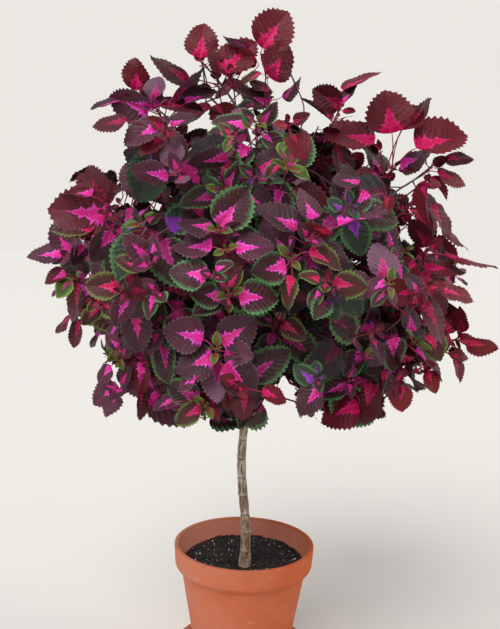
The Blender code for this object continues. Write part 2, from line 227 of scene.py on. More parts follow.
def leaf_material(name, colour, zone):
    """A leaf's velvety skin: fine hairs catch the light, and the gloss is uneven."""
    made, nodes, links, shader = shader_of(name, colour, 0.5)
    patch = noise_node(nodes, links, 90.0, 3.0)
    links.new(ranged(nodes, links, patch.outputs["Fac"], 0.34, 0.60), shader.inputs["Roughness"])
    pillows = nodes.new("ShaderNodeTexVoronoi")
    pillows.inputs["Scale"].default_value = 230.0
    place = nodes.new("ShaderNodeTexCoord")
    links.new(place.outputs["Object"], pillows.inputs["Vector"])
    bumped(nodes, links, shader, pillows.outputs["Distance"], 0.55, -0.0017)
    shader.inputs["Specular IOR Level"].default_value = 0.24
    shader.inputs["Sheen Weight"].default_value = 0.0 if zone in ("stalk", "flame", "glow") else 0.07
    shader.inputs["Sheen Roughness"].default_value = 0.40
    shader.inputs["Sheen Tint"].default_value = (0.86, 0.80, 0.92, 1.0)
    return made


def between(first, second):
    """The colour halfway between two."""
    return tuple((a + b) / 2 for a, b in zip(first, second))


LEAF_MATERIALS = {}
for kind, (flame, glow, blade, margin, stalk) in KINDS.items():
    for zone, colour in zip(ZONES, (flame, glow, blade, between(blade, margin), margin, stalk)):
        LEAF_MATERIALS[kind, zone] = leaf_material(f"leaf_{kind}_{zone}", colour, zone)


def stem_material(name, colour):
    """Young stem: smooth skin with fine lines along it."""
    made, nodes, links, shader = shader_of(name, colour, 0.5)
    patch = noise_node(nodes, links, 240.0, 3.0)
    links.new(ranged(nodes, links, patch.outputs["Fac"], 0.42, 0.68), shader.inputs["Roughness"])
    bumped(nodes, links, shader, patch.outputs["Fac"], 0.4, 0.0005)
    return made


STEM_MATERIAL = stem_material("stem_purple_brown", (58, 22, 32))
TIP_STEM_MATERIAL = stem_material("stem_crimson", (106, 32, 52))


def mixed(nodes, links, amount, dark, light):
    """A colour between two, by an amount."""
    blend = nodes.new("ShaderNodeMix")
    blend.data_type = "RGBA"
    if isinstance(amount, float):
        blend.inputs[0].default_value = amount
    else:
        links.new(amount, blend.inputs[0])
    for socket, colour in ((6, dark), (7, light)):
        if isinstance(colour, tuple):
            blend.inputs[socket].default_value = (*linear(colour), 1.0)
        else:
            links.new(colour, blend.inputs[socket])
    return blend.outputs[2]


def bark_material(name, dark, brown, pale):
    """Pale grey-brown bark with darker lengthwise cracks and blotches."""
    made, nodes, links, shader = shader_of(name, pale, 0.85)
    blotch = noise_node(nodes, links, 70.0, 4.0, (1.0, 1.0, 0.5))
    streak = noise_node(nodes, links, 420.0, 5.0, (1.0, 1.0, 0.10))
    grain = noise_node(nodes, links, 900.0, 3.0)
    plain = mixed(nodes, links, ranged(nodes, links, blotch.outputs["Fac"], 0.0, 1.0, 0.36, 0.64),
                  brown, pale)
    lined = mixed(nodes, links, ranged(nodes, links, streak.outputs["Fac"], 0.0, 1.0, 0.42, 0.56),
                  dark, plain)
    links.new(mixed(nodes, links, 0.18, lined, plain), shader.inputs["Base Color"])
    total = nodes.new("ShaderNodeMath")
    total.operation = "ADD"
    links.new(streak.outputs["Fac"], total.inputs[0])
    links.new(grain.outputs["Fac"], total.inputs[1])
    bumped(nodes, links, shader, total.outputs[0], 0.6, 0.0010)
    links.new(ranged(nodes, links, blotch.outputs["Fac"], 0.72, 0.92), shader.inputs["Roughness"])
    return made


# How much warmer the clay's right side is than its left, for each metre: painted warm bounce light on the right and
# painted pinkish light on the left
CLAY_PAINTED_WARM_LIGHT = 2.6


def clay_material(name, plain_colour, painted_warm_light_colour, pale_colour, scratches):
    """Unglazed clay: warm and pinkish areas, painted light that turns warm towards its right side and pinkish
    towards its left over random cloudy tone, fine speckle, and pale scratches if it has them.
    """
    made, nodes, links, shader = shader_of(name, plain_colour, 0.8)
    cloud = noise_node(nodes, links, 9.0, 3.0)
    mottle = noise_node(nodes, links, 38.0, 4.0)
    speck = noise_node(nodes, links, 700.0, 3.0)
    place = nodes.new("ShaderNodeTexCoord")
    apart = nodes.new("ShaderNodeSeparateXYZ")
    links.new(place.outputs["Object"], apart.inputs["Vector"])
    # Painted light: the colour turns warm towards +X and pinkish towards -X, mixed with random cloudy tone
    side = nodes.new("ShaderNodeMath")
    side.operation = "MULTIPLY_ADD"
    side.inputs[1].default_value = CLAY_PAINTED_WARM_LIGHT
    links.new(apart.outputs["X"], side.inputs[0])
    links.new(cloud.outputs["Fac"], side.inputs[2])
    body = mixed(nodes, links, ranged(nodes, links, side.outputs["Value"], 0.0, 1.0, 0.15, 0.85),
                 plain_colour, painted_warm_light_colour)
    mottled = mixed(nodes, links, ranged(nodes, links, mottle.outputs["Fac"], 0.0, 0.16),
                    body, pale_colour)
    fine = mixed(nodes, links, ranged(nodes, links, speck.outputs["Fac"], 0.0, 0.14),
                 mottled, (150, 78, 56))
    marks = noise_node(nodes, links, 26.0, 2.0, (1.0, 1.0, 7.0))
    scratch = ranged(nodes, links, marks.outputs["Fac"], 0.0, 0.5, 0.72 - scratches, 0.76 - scratches)
    links.new(mixed(nodes, links, scratch, fine, pale_colour), shader.inputs["Base Color"])
    links.new(ranged(nodes, links, mottle.outputs["Fac"], 0.70, 0.90), shader.inputs["Roughness"])
    bumped(nodes, links, shader, speck.outputs["Fac"], 0.3, 0.0006)
    shader.inputs["Specular IOR Level"].default_value = 0.3
    return made


def soil_material():
    """Moist dark potting soil."""
    made, nodes, links, shader = shader_of("soil_dark", (38, 30, 28), 0.9)
    crumb = noise_node(nodes, links, 260.0, 6.0)
    clod = noise_node(nodes, links, 60.0, 4.0)
    dark = mixed(nodes, links, ranged(nodes, links, clod.outputs["Fac"], 0.0, 1.0),
                 (14, 12, 14), (34, 28, 28))
    links.new(mixed(nodes, links, ranged(nodes, links, crumb.outputs["Fac"], 0.0, 0.5, 0.45, 0.75),
                    dark, (84, 70, 64)), shader.inputs["Base Color"])
    links.new(ranged(nodes, links, clod.outputs["Fac"], 0.72, 0.97), shader.inputs["Roughness"])
    bumped(nodes, links, shader, crumb.outputs["Fac"], 0.9, 0.003)
    return made


def grain_material(name, colour):
    """One kind of grain in the soil."""
    made, nodes, links, shader = shader_of(name, colour, 0.85)
    pits = noise_node(nodes, links, 1400.0, 3.0)
    links.new(ranged(nodes, links, pits.outputs["Fac"], 0.7, 0.95), shader.inputs["Roughness"])
    bumped(nodes, links, shader, pits.outputs["Fac"], 0.5, 0.0006)
    return made


# Meshes

def make_piece(name, points, faces, slots, smooth, materials):
    """A mesh object from arrays: points, groups of faces with their slots and whether each
    group is smooth, and materials."""
    data = bpy.data.meshes.new(name)
    data.vertices.add(len(points))
    data.vertices.foreach_set("co", np.asarray(points, dtype=np.float32).ravel())
    corners = np.concatenate([group.ravel() for group in faces])
    sizes = np.concatenate([np.full(len(group), group.shape[1]) for group in faces])
    data.loops.add(len(corners))
    data.loops.foreach_set("vertex_index", corners.astype(np.int32))
    data.polygons.add(len(sizes))
    starts = np.concatenate(([0], np.cumsum(sizes)[:-1]))
    data.polygons.foreach_set("loop_start", starts.astype(np.int32))
    data.polygons.foreach_set("material_index", np.concatenate(slots).astype(np.int32))
    rounded = np.concatenate([np.full(len(group), even) for group, even in zip(faces, smooth)])
    data.polygons.foreach_set("use_smooth", rounded)
    data.update(calc_edges=True)
    for finish in materials:
        data.materials.append(finish)
    piece = bpy.data.objects.new(name, data)
    bpy.context.scene.collection.objects.link(piece)
    return piece


def outline_of_leaf():
    """The leaf's edge on one side, evenly spaced along itself: half width and height arrays."""
    height = np.linspace(0.0, 1.0, 2001)
    peak_at = LEAF_BASE_POWER / (LEAF_BASE_POWER + LEAF_TIP_POWER)
    peak = peak_at ** LEAF_BASE_POWER * (1 - peak_at) ** LEAF_TIP_POWER
    width = LEAF_HALF_WIDTH / peak * height ** LEAF_BASE_POWER * (1 - height) ** LEAF_TIP_POWER
    width *= 1 - 0.45 * np.exp(-((1 - height) / LEAF_POINT) ** 2)
    run = np.concatenate(([0.0], np.cumsum(np.hypot(np.diff(width), np.diff(height)))))
    return width, height, run / run[-1]


def flame_share(rib, edge_x, edge_y, length, width):
    """How far out along a side vein the flame reaches, as a share of the way to the edge."""
    reached = FLAME_THREAD
    for step in range(1, 60):
        share = step / 60
        height = rib + (edge_y - rib) * share
        if edge_x * share > width * max(0.0, 1.0 - height / length):
            break
        reached = share
    return min(reached, FLAME_LIMIT)


def leaf_form(teeth, strips, flame_length, flame_width, margin, seed):
    """A flat leaf of unit length: points, faces and the zone of each face.

    Rows follow the side veins from the midrib to the edge, two for each tooth, and strips run
    from base to tip: flame, glow, blade, inner margin and margin, or fewer on a rougher leaf.
    """
    rng = random.Random(seed)
    width, height, run = outline_of_leaf()
    rows = 2 * teeth
    half = strips
    zone_names = {5: (0, 1, 2, 3, 4), 4: (0, 1, 2, 4), 3: (0, 2, 4), 2: (0, 2)}[strips]
    points = [(0.0, 0.0, 0.0, 0.0)]
    rib = 0.0
    for row in range(1, rows):
        share = row / rows
        edge_x = np.interp(share, run, width)
        edge_y = np.interp(share, run, height)
        rib = max(edge_y - VEIN_SLANT * edge_x, share * 0.22, rib + 0.004)
        on_vein = row % 2 == 0
        depth = TOOTH_DEPTH * 12 / teeth * min(1.0, 4 * share, 5 * (1 - share))
        out = depth if on_vein else -depth
        lean = TOOTH_LEAN if on_vein else -TOOTH_LEAN * 0.5
        spike = FLAME_SPIKES[row % 4] * rng.uniform(0.80, 1.20)
        flame = flame_share(rib, edge_x, edge_y, flame_length, flame_width * spike)
        rim = 1.0 - margin * (0.72 if on_vein else 1.15) * rng.uniform(0.78, 1.22)
        rim = max(rim, flame + 0.04)
        heart = flame * (0.52 if on_vein else 0.72)
        if strips == 5:
            stops = (0.0, heart, flame, rim, (rim + 1.0) / 2, 1.0)
        elif strips == 4:
            stops = (0.0, heart, flame, rim, 1.0)
        elif strips == 3:
            stops = (0.0, flame, rim, 1.0)
        else:
            stops = (0.0, flame, 1.0)
        for column in range(-half, half + 1):
            stop = stops[abs(column)]
            side = (column > 0) - (column < 0)
            x = edge_x * stop
            y = rib + (edge_y - rib) * stop - 0.05 * stop * (1 - stop)
            if stop == 1.0:
                x += out
                y += lean
            swell = math.sin(math.pi * min(stop * 1.05, 1.0)) * (-1.0 if on_vein else 1.0)
            lift = QUILT * swell * min(1.0, edge_x / LEAF_HALF_WIDTH * 1.4)
            points.append((side * x, y, lift, stop))
    points.append((0.0, 1.0, 0.0, 0.0))
    last = len(points) - 1
    across = 2 * half + 1
    quads, quad_zones, triangles, triangle_zones = [], [], [], []
    for column in range(2 * half):
        zone = zone_names[min(abs(column - half + (0 if column >= half else 1)), half - 1)]
        first = 1 + column
        triangles.append((0, first + 1, first))
        triangle_zones.append(zone)
        top = 1 + (rows - 2) * across + column
        triangles.append((last, top, top + 1))
        triangle_zones.append(zone)
        for row in range(rows - 2):
            low = 1 + row * across + column
            quads.append((low, low + 1, low + across + 1, low + across))
            quad_zones.append(zone)
    return {"points": np.array(points), "quads": np.array(quads), "triangles": np.array(triangles),
            "quad_zones": np.array(quad_zones), "triangle_zones": np.array(triangle_zones)}


# Forms by fineness and margin, each with a few flames to choose from
FLAMES = ((0.60, 0.22), (0.54, 0.26), (0.66, 0.19), (0.52, 0.22), (0.44, 0.18), (0.36, 0.14))
OWN_FLAMES = 4
FINENESS = {"fine": (13, 4), "plain": (10, 3), "small": (9, 3), "rough": (9, 2), "bud": (6, 2)}
# The thin margin is a pale rim of painted sheen along the teeth; the wide margin is the leaf's own green edge.
MARGINS = {"thin": 0.06, "wide": 0.26}
# How far the two halves of a leaf are folded up, in degrees
FOLDS = {"heart": (22, 42), "other": (8, 30)}
FORMS = {}
for fineness, (teeth, strips) in FINENESS.items():
    for margin_name, margin in MARGINS.items():
        more = 1 if fineness == "fine" and margin_name == "wide" else 0
        FORMS[fineness, margin_name] = [
            leaf_form(teeth, strips + more, flame[0], flame[1], margin, SEED + number)
            for number, flame in enumerate(FLAMES)]


def bent_leaf(form, length, width, fold, droop, wave, phase, twist, curl):
    """The form's points bent as a real leaf is, its base at the origin and its tip along +Y."""
    x, y, lift, stop = form["points"].T
    side = x * length * width
    reach = np.abs(side)
    turn = droop * np.clip(y, 0.0, None) + 1e-5
    along = np.sin(turn) / (droop + 1e-5)
    down = (1.0 - np.cos(turn)) / (droop + 1e-5)
    height = (lift * length + reach * math.sin(fold) - curl * reach ** 2 / (0.3 * length)
              + wave * length * np.sin(phase + 13.0 * y + 1.5 * np.sign(x)) * stop ** 2)
    flat = side * math.cos(fold)
    angle = twist * y
    across = flat * np.cos(angle) - height * np.sin(angle)
    height = flat * np.sin(angle) + height * np.cos(angle)
    return np.stack((across,
                     along * length + height * np.sin(turn),
                     -down * length + height * np.cos(turn)), axis=1)


def curve_between(start, start_pull, end_pull, end, steps):
    """Points of a smooth curve between two places, leaving and arriving along the pulls."""
    line = []
    for step in range(steps + 1):
        t = step / steps
        line.append(start * (1 - t) ** 3 + start_pull * 3 * t * (1 - t) ** 2
                    + end_pull * 3 * t ** 2 * (1 - t) + end * t ** 3)
    return line


def spread_line(middles, radii, step):
    """A limb's line and radii at close, even steps."""
    line, thick = [], []
    for index in range(len(middles) - 1):
        length = (middles[index + 1] - middles[index]).length
        count = max(1, round(length / step))
        for part in range(count):
            share = part / count
            line.append(middles[index].lerp(middles[index + 1], share))
            thick.append(radii[index] * (1 - share) + radii[index + 1] * share)
    line.append(middles[-1])
    thick.append(radii[-1])
    return line, thick


def rounded_line(line, passes):
    """The line with its corners eased, its ends kept."""
    for turn in range(passes):
        line = ([line[0]]
                + [(line[index - 1] + line[index] * 2 + line[index + 1]) / 4
                   for index in range(1, len(line) - 1)]
                + [line[-1]])
    return line


def tube_arrays(line, radii, sides):
    """Points and quads of an open tube along a line."""
    points = []
    across = None
    for index, point in enumerate(line):
        ahead = (line[min(index + 1, len(line) - 1)] - line[max(index - 1, 0)]).normalized()
        if across is None:
            across = ahead.orthogonal().normalized()
        across = (across - ahead * across.dot(ahead)).normalized()
        other = ahead.cross(across)
        for side in range(sides):
            angle = math.tau * side / sides
            points.append(point + (across * math.cos(angle) + other * math.sin(angle)) * radii[index])
    quads = []
    for ring in range(len(line) - 1):
        for side in range(sides):
            after = (side + 1) % sides
            quads.append((ring * sides + side, ring * sides + after,
                          (ring + 1) * sides + after, (ring + 1) * sides + side))
    return np.array(points), np.array(quads)


class Sheet:
    """Gathers leaves, or stems, into one mesh with a slot for each material met."""

    def __init__(self):
        self.points = []
        self.faces = []
        self.slots = []
        self.smooth = []
        self.materials = []
        self.count = 0

    def slot(self, finish):
        """The number of a material's slot."""
        if finish not in self.materials:
            self.materials.append(finish)
        return self.materials.index(finish)

    def add(self, points, groups, smooth=True):
        """Add points, and groups of faces with a slot number or numbers for each."""
        for corners, slots in groups:
            self.smooth.append(smooth)
            self.faces.append(corners + self.count)
            self.slots.append(np.broadcast_to(slots, len(corners)).copy())
        self.points.append(points)
        self.count += len(points)

    def triangles(self):
        """How many triangles the sheet holds."""
        return sum(len(group) * (group.shape[1] - 2) for group in self.faces)

    def piece(self, name, slot):
        """The finished object."""
        made = make_piece(name, np.concatenate(self.points), self.faces, self.slots, self.smooth,
                          self.materials)
        return made


def add_leaf(sheet, leaf):
    """Add one leaf: its blade and the stalk that carries it from the stem."""
    form = leaf["form"]
    rng = leaf["rng"]
    length = leaf["length"]
    fold = math.radians(rng.uniform(*FOLDS["heart" if leaf["kind"] == "heart" else "other"]))
    blade = bent_leaf(form, length, leaf["width"], fold, leaf["droop"],
                      rng.uniform(0.010, 0.026), rng.uniform(0, math.tau),
                      math.radians(rng.uniform(-24, 24)), rng.uniform(0.0, 0.22))
    along = leaf["along"]
    normal = (leaf["normal"] - along * leaf["normal"].dot(along)).normalized()
    side = along.cross(normal)
    turn = np.array((side, along, normal))
    points = blade @ turn + np.array(leaf["base"])
    slots = np.array([sheet.slot(LEAF_MATERIALS[leaf["kind"], zone]) for zone in ZONES[:5]])
    stalk_slot = sheet.slot(LEAF_MATERIALS[leaf["kind"], "stalk"])
    sheet.add(points, ((form["quads"], slots[form["quad_zones"]]),
                       (form["triangles"], slots[form["triangle_zones"]])), smooth=False)
    start = leaf["root"]
    end = leaf["base"] + along * length * 0.02
    span = (end - start).length
    line = curve_between(start, start + leaf["leave"] * span * 0.4, end - along * span * 0.35, end, 4)
    thick = 0.0008 + 0.008 * length
    tube, quads = tube_arrays(line, [thick * share for share in (1.5, 1.05, 0.95, 0.9, 0.6)], 4)
    sheet.add(tube, ((quads, stalk_slot),))


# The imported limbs

def welded(node):
    """A node's mesh with shared corners joined and flat neighbours merged."""
    mesh = bmesh.new()
    mesh.from_mesh(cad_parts[node].data)
    bmesh.ops.remove_doubles(mesh, verts=mesh.verts, dist=1e-6)
    bmesh.ops.dissolve_limit(mesh, angle_limit=math.radians(0.3), verts=mesh.verts, edges=mesh.edges)
    return mesh


def limb_rings(node, start_near):
    """Middles and radii of a limb's rings, from the end that is nearer to a place."""
    mesh = welded(node)
    caps = sorted(mesh.faces, key=lambda face: -len(face.verts))[:2]
    caps.sort(key=lambda face: (face.calc_center_median() - start_near).length)
    ring = list(caps[0].verts)
    met = set(ring)
    middles, radii = [], []
    while ring:
        middle = sum((vertex.co for vertex in ring), Vector()) / len(ring)
        middles.append(middle)
        radii.append(sum((vertex.co - middle).length for vertex in ring) / len(ring))
        following = []
        for vertex in ring:
            for edge in vertex.link_edges:
                other = edge.other_vert(vertex)
                if other not in met:
                    met.add(other)
                    following.append(other)
        ring = following
    mesh.free()
    return middles, radii


TRUNK_FOOT = Vector((0.003, 0.0, 0.24))
TRUNK_MIDDLES, TRUNK_RADII = limb_rings("trunk", TRUNK_FOOT)
BOUGHS = sorted(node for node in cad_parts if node.startswith("bough_"))
MASSES = sorted(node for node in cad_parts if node.startswith("foliage_"))


def near_trunk(point):
    """The trunk's middle nearest to a point."""
    return min(TRUNK_MIDDLES, key=lambda middle: (middle - point).length)


def middle_of(node):
    """Middle of a node's box."""
    low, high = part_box(node)
    return (Vector(low) + Vector(high)) / 2


BOUGH_LINES = {}
for bough in BOUGHS:
    BOUGH_LINES[bough] = limb_rings(bough, near_trunk(middle_of(bough)))

MASS_MIDDLES = {mass: middle_of(mass) for mass in MASSES}
MASS_HALVES = {}
for mass in MASSES:
    low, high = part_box(mass)
    MASS_HALVES[mass] = (Vector(high) - Vector(low)) / 2


def crown_surface():
    """All the masses in one tree, with their triangles for sampling."""
    corners, faces, owners = [], [], []
    for mass in MASSES:
        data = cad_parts[mass].data
        data.calc_loop_triangles()
        first = len(corners)
        corners += [vertex.co.copy() for vertex in data.vertices]
        for triangle in data.loop_triangles:
            faces.append(tuple(first + corner for corner in triangle.vertices))
            owners.append(mass)
    return BVHTree.FromPolygons(corners, faces), corners, faces, owners


CROWN, CROWN_CORNERS, CROWN_FACES, CROWN_OWNERS = crown_surface()
CROWN_MIDDLE = Vector((0.012, 0.0, 0.86))


def outward(point):
    """Direction out of the crown at a point: sideways low down, and up at the top."""
    core = Vector((CROWN_MIDDLE.x, CROWN_MIDDLE.y, min(max(point.z - 0.05, 0.70), 0.98)))
    away = point - core
    return away.normalized() if away.length > 1e-4 else UP


def owner_of(point):
    """The mass that a place belongs to: the one it is deepest inside, by its box."""
    def share(mass):
        away = point - MASS_MIDDLES[mass]
        half = MASS_HALVES[mass]
        return (away.x / half.x) ** 2 + (away.y / half.y) ** 2 + (away.z / half.z) ** 2
    return min(MASSES, key=share)


# Shoots that show plainly from the front, in the photograph's pixels: the shoot's heart, and
# its large leaves with their colours, base, tip, how far their face is turned to the viewer and,
# where they aren't of the usual shape, how much broader they are
PLAIN_SHOOTS = {
    "front_low": ((216, 349), (
        ("plum", (203, 339), (163, 329), 1.0), ("dusk", (221, 343), (257, 319), 1.0),
        ("dusk", (213, 358), (174, 369), 0.9), ("dusk", (223, 366), (258, 394), 1.0),
        ("plum", (196, 378), (174, 388), 0.8))),
    "front_upper": ((218, 229), (
        ("green_rim", (220, 226), (249, 185), 1.0), ("dusk", (212, 228), (177, 222), 0.75),
        ("plum", (223, 230), (245, 226), 0.7))),
    "front_upper_low": ((226, 249), (
        ("plum", (212, 247), (170, 247), 0.8), ("plum", (236, 249), (275, 245), 0.8))),
    "centre_left": ((213, 275), (
        ("green_rim", (207, 276), (168, 270), 0.9), ("green_rim", (216, 270), (234, 262), 0.8))),
    "centre": ((229, 293), (
        ("green_rim", (221, 296), (190, 294), 1.0), ("green_rim", (239, 297), (281, 298), 1.0),
        ("olive_rim", (230, 287), (240, 266), 0.8), ("olive_rim", (229, 299), (227, 313), 0.7))),
    "centre_upper": ((291, 258), (
        ("green_rim", (286, 266), (250, 272), 1.0), ("olive_rim", (309, 252), (346, 268), 0.7),
        ("olive_rim", (292, 276), (285, 312), 0.7))),
    "centre_right_dark": ((310, 238), (
        ("plum", (339, 226), (389, 211), 0.5), ("dusk", (297, 230), (256, 205), 0.75),
        ("plum", (313, 219), (300, 187), 0.8), ("russet", (330, 230), (297, 226), 0.3),
        ("plum", (289, 240), (290, 258), 0.5))),
    "centre_right_low": ((326, 280), (
        ("olive_rim", (333, 282), (368, 288), 0.85), ("green_rim", (322, 290), (306, 306), 0.7))),
    "centre_green": ((331, 294), (("shade_green", (329, 299), (336, 322), 0.9),)),
    "centre_brown": ((277, 322), (("olive_rim", (282, 324), (308, 338), 0.9),)),
    "upper_violet": ((222, 190), (
        ("violet_green", (219, 192), (200, 177), 0.7), ("green_rim", (226, 186), (243, 162), 0.7),
        ("violet_green", (228, 193), (246, 203), 0.6))),
    "upper_violet_right": ((256, 176), (
        ("violet_green", (252, 180), (238, 194), 0.6), ("violet_green", (262, 176), (284, 180), 0.5))),
    "upper_lime": ((286, 166), (
        ("lime", (292, 170), (310, 178), 0.8), ("lime", (284, 160), (284, 140), 0.7),
        ("olive_rim", (279, 168), (262, 176), 0.7))),
    "violet_right": ((352, 206), (
        ("violet_green", (341, 210), (328, 198), 0.8), ("green_rim", (367, 192), (349, 214), 0.9),
        ("dusk", (359, 183), (332, 176), 0.6), ("russet", (386, 197), (388, 214), 0.8))),
    "right_magenta": ((390, 284), (
        ("plum", (386, 282), (362, 296), 0.8), ("plum", (390, 288), (397, 306), 0.5),
        ("green_rim", (384, 292), (372, 308), 0.6))),
    "right_high": ((396, 168), (
        ("wine", (392, 133), (385, 89), 1.0, 1.3), ("wine", (402, 130), (420, 104), 0.9),
        ("wine", (416, 148), (468, 133), 0.85), ("plum", (400, 162), (434, 157), 0.7),
        ("wine", (374, 144), (323, 126), 0.6), ("claret", (410, 120), (434, 101), 0.4))),
    "right_point": ((432, 166), (
        ("claret", (446, 156), (474, 161), 0.5), ("wine", (437, 172), (467, 184), 0.5))),
    "right_column": ((424, 182), (
        ("wine", (427, 180), (424, 222), 0.45), ("claret", (430, 206), (452, 240), 0.45))),
    "right_streak": ((430, 250), (
        ("claret", (429, 245), (408, 219), 0.6), ("claret", (442, 226), (470, 249), 0.5),
        ("wine", (446, 255), (499, 266), 0.34), ("wine", (426, 268), (468, 266), 0.6))),
    "top_right": ((340, 108), (
        ("wine", (344, 90), (381, 68), 0.35), ("claret", (341, 105), (311, 90), 0.9),
        ("claret", (331, 121), (302, 96), 0.3), ("dusk", (343, 104), (356, 84), 0.7))),
    "right_lower": ((428, 288), (
        ("wine", (436, 289), (477, 295), 0.5), ("claret", (424, 303), (450, 344), 0.6),
        ("dusk", (418, 292), (408, 272), 0.7))),
    "right_rosette": ((415, 342), (
        ("dusk", (411, 331), (411, 303), 0.8), ("olive_rim", (430, 334), (441, 362), 1.0),
        ("plum", (415, 351), (446, 379), 0.5), ("green_rim", (393, 338), (395, 373), 0.85),
        ("plum", (374, 328), (366, 312), 0.7))),
    "far_right_low": ((460, 337), (
        ("russet", (462, 332), (459, 306), 0.7), ("russet", (468, 340), (498, 350), 0.55),
        ("claret", (459, 341), (461, 352), 0.4))),
    "right_dangling": ((448, 350), (("wine", (452, 355), (465, 382), 0.4),)),
    "right_low_russet": ((421, 368), (("russet", (426, 372), (437, 393), 0.8),)),
    "right_low_broad": ((397, 382), (
        ("russet", (399, 386), (403, 413), 1.0), ("olive_rim", (386, 372), (379, 411), 0.35))),
    "low_right": ((350, 380), (
        ("green_rim", (347, 387), (315, 394), 0.9), ("green_rim", (363, 354), (343, 376), 0.9),
        ("wine", (358, 405), (319, 420), 0.9), ("claret", (372, 384), (363, 424), 0.8))),
    "low_right_violet": ((318, 378), (
        ("violet_green", (314, 381), (293, 365), 0.8), ("dusk", (321, 388), (297, 414), 0.9))),
    "low_hanging": ((237, 385), (
        ("claret", (231, 388), (229, 412), 0.8), ("claret", (244, 395), (246, 422), 0.8),
        ("wine", (262, 392), (288, 400), 0.8))),
    "low_left_lime": ((205, 406), (
        ("olive_rim", (201, 408), (173, 421), 0.8), ("russet", (211, 408), (221, 422), 0.6),
        ("dusk", (172, 402), (149, 409), 0.8))),
    "left_top": ((136, 96), (("wine", (136, 90), (138, 56), 0.9), ("painted_sheen_mauve", (156, 97), (157, 75), 0.9, 1.25))),
    "left_upper": ((156, 108), (
        ("plum", (149, 109), (108, 98), 0.8), ("dusk", (120, 102), (89, 107), 0.3),
        ("claret", (160, 105), (203, 109), 0.45), ("painted_sheen_mauve", (173, 97), (206, 70), 0.35),
        ("dusk", (186, 103), (217, 90), 0.55))),
    "left_upper_low": ((164, 130), (
        ("claret", (126, 121), (91, 124), 0.6), ("plum", (159, 128), (122, 140), 0.75),
        ("dusk", (172, 126), (196, 114), 0.6))),
    "left_ribbed": ((178, 172), (
        ("painted_sheen_mauve", (173, 167), (174, 139), 0.9), ("plum", (168, 175), (129, 171), 0.6))),
    "left_dark": ((108, 210), (
        ("rose", (106, 216), (46, 208), 1.0), ("claret", (103, 203), (84, 165), 0.8),
        ("olive_rim", (94, 228), (50, 228), 0.7), ("dusk", (111, 232), (92, 263), 0.9),
        ("rose", (92, 196), (60, 190), 0.7))),
    "left_green_violet": ((142, 222), (
        ("violet_green", (138, 225), (120, 232), 0.7), ("green_rim", (147, 220), (164, 212), 0.6))),
    "left_edge": ((68, 256), (
        ("plum", (62, 255), (26, 254), 0.8), ("dusk", (82, 245), (74, 266), 0.8))),
    "left_lime": ((74, 279), (
        ("lime", (71, 279), (55, 298), 0.9), ("rose", (66, 274), (44, 283), 0.8),
        ("claret", (79, 284), (74, 323), 0.5))),
    "left_middle": ((122, 290), (
        ("olive_rim", (119, 287), (84, 285), 1.0), ("plum", (125, 299), (117, 328), 0.85))),
    "left_middle_low": ((98, 300), (
        ("olive_rim", (96, 306), (84, 328), 0.8), ("claret", (80, 322), (71, 348), 0.5),
        ("claret", (71, 316), (54, 332), 0.4))),
    "left_centre": ((150, 262), (
        ("plum", (155, 253), (152, 234), 0.9), ("olive_rim", (143, 270), (115, 257), 0.85))),
    "left_green": ((156, 290), (("green_rim", (154, 296), (147, 320), 0.8),)),
    "left_low_lime": ((116, 358), (
        ("plum", (119, 346), (104, 335), 0.7), ("plum", (111, 366), (97, 384), 0.7),
        ("lime", (118, 350), (110, 364), 0.7))),
    "left_low": ((116, 388), (("plum", (117, 385), (93, 405), 1.0),)),
    "left_low_wine": ((143, 360), (
        ("rose", (143, 363), (136, 396), 0.8), ("claret", (138, 392), (145, 421), 0.4))),
    "top_left": ((202, 62), (("wine", (200, 58), (204, 21), 1.0),)),
    "top_left_low": ((217, 80), (
        ("wine", (189, 77), (147, 61), 0.4), ("claret", (224, 83), (252, 92), 0.45))),
    "top_middle": ((232, 74), (
        ("wine", (224, 72), (254, 37), 0.8), ("claret", (226, 74), (212, 49), 0.85),
        ("painted_sheen_mauve", (250, 46), (222, 37), 0.45), ("russet", (257, 61), (236, 53), 0.6))),
    "top": ((266, 70), (("wine", (262, 48), (288, 9), 1.0), ("wine", (269, 77), (292, 43), 0.9))),
    "top_back": ((268, 96), (
        ("plum", (282, 97), (302, 77), 0.5), ("dusk", (270, 104), (241, 92), 0.8),
        ("claret", (268, 92), (250, 80), 0.5), ("olive_rim", (262, 74), (239, 84), 0.4),
        ("claret", (236, 82), (214, 97), 0.5))),
    "upper_middle_green": ((256, 122), (
        ("green_rim", (261, 121), (280, 103), 0.6), ("lime", (252, 124), (240, 120), 0.7))),
    "upper_russet": ((290, 124), (("russet", (294, 122), (310, 113), 0.8),)),
    "upper_lime_pink": ((234, 136), (
        ("lime", (232, 140), (222, 152), 0.8), ("dusk", (227, 156), (187, 169), 0.45))),
}
SHOOT_STANDS_OUT = 0.008
# Shown shoots whose youngest leaves are a plain yellow-green
GREEN_HEARTS = ("front_low", "front_upper", "front_upper_low", "centre", "centre_upper", "left_lime",
                "left_low_lime", "left_green_violet", "low_left_lime", "right_magenta",
                "right_rosette", "upper_lime", "upper_violet", "upper_middle_green")
# Shown shoots that grow in an outlying mass, and so stand as far away as it does
SHOOT_MASSES = {
    "top": "top", "top_left": "top_left", "top_left_low": "top_left", "top_middle": "top_middle",
    "top_back": "top_back", "top_right": "upper_right", "right_high": "right_high",
    "right_point": "right_high", "left_top": "upper_left", "left_upper": "upper_left",
    "far_right_low": "right_tip",
}
# Bare stems that show: the crown's pixel where each comes out, the pixels along it, and the
# shown shoot that it carries
SHOWN_STEMS = {
    "top_left": (((250, 142), (244, 120), (231, 98), (217, 79)), 0.0030, 0.0019),
    "left_upper": (((186, 150), (176, 132), (166, 116)), 0.0024, 0.0018),
    "right_point": (((380, 206), (398, 190), (414, 180), (426, 173)), 0.0024, 0.0018),
}

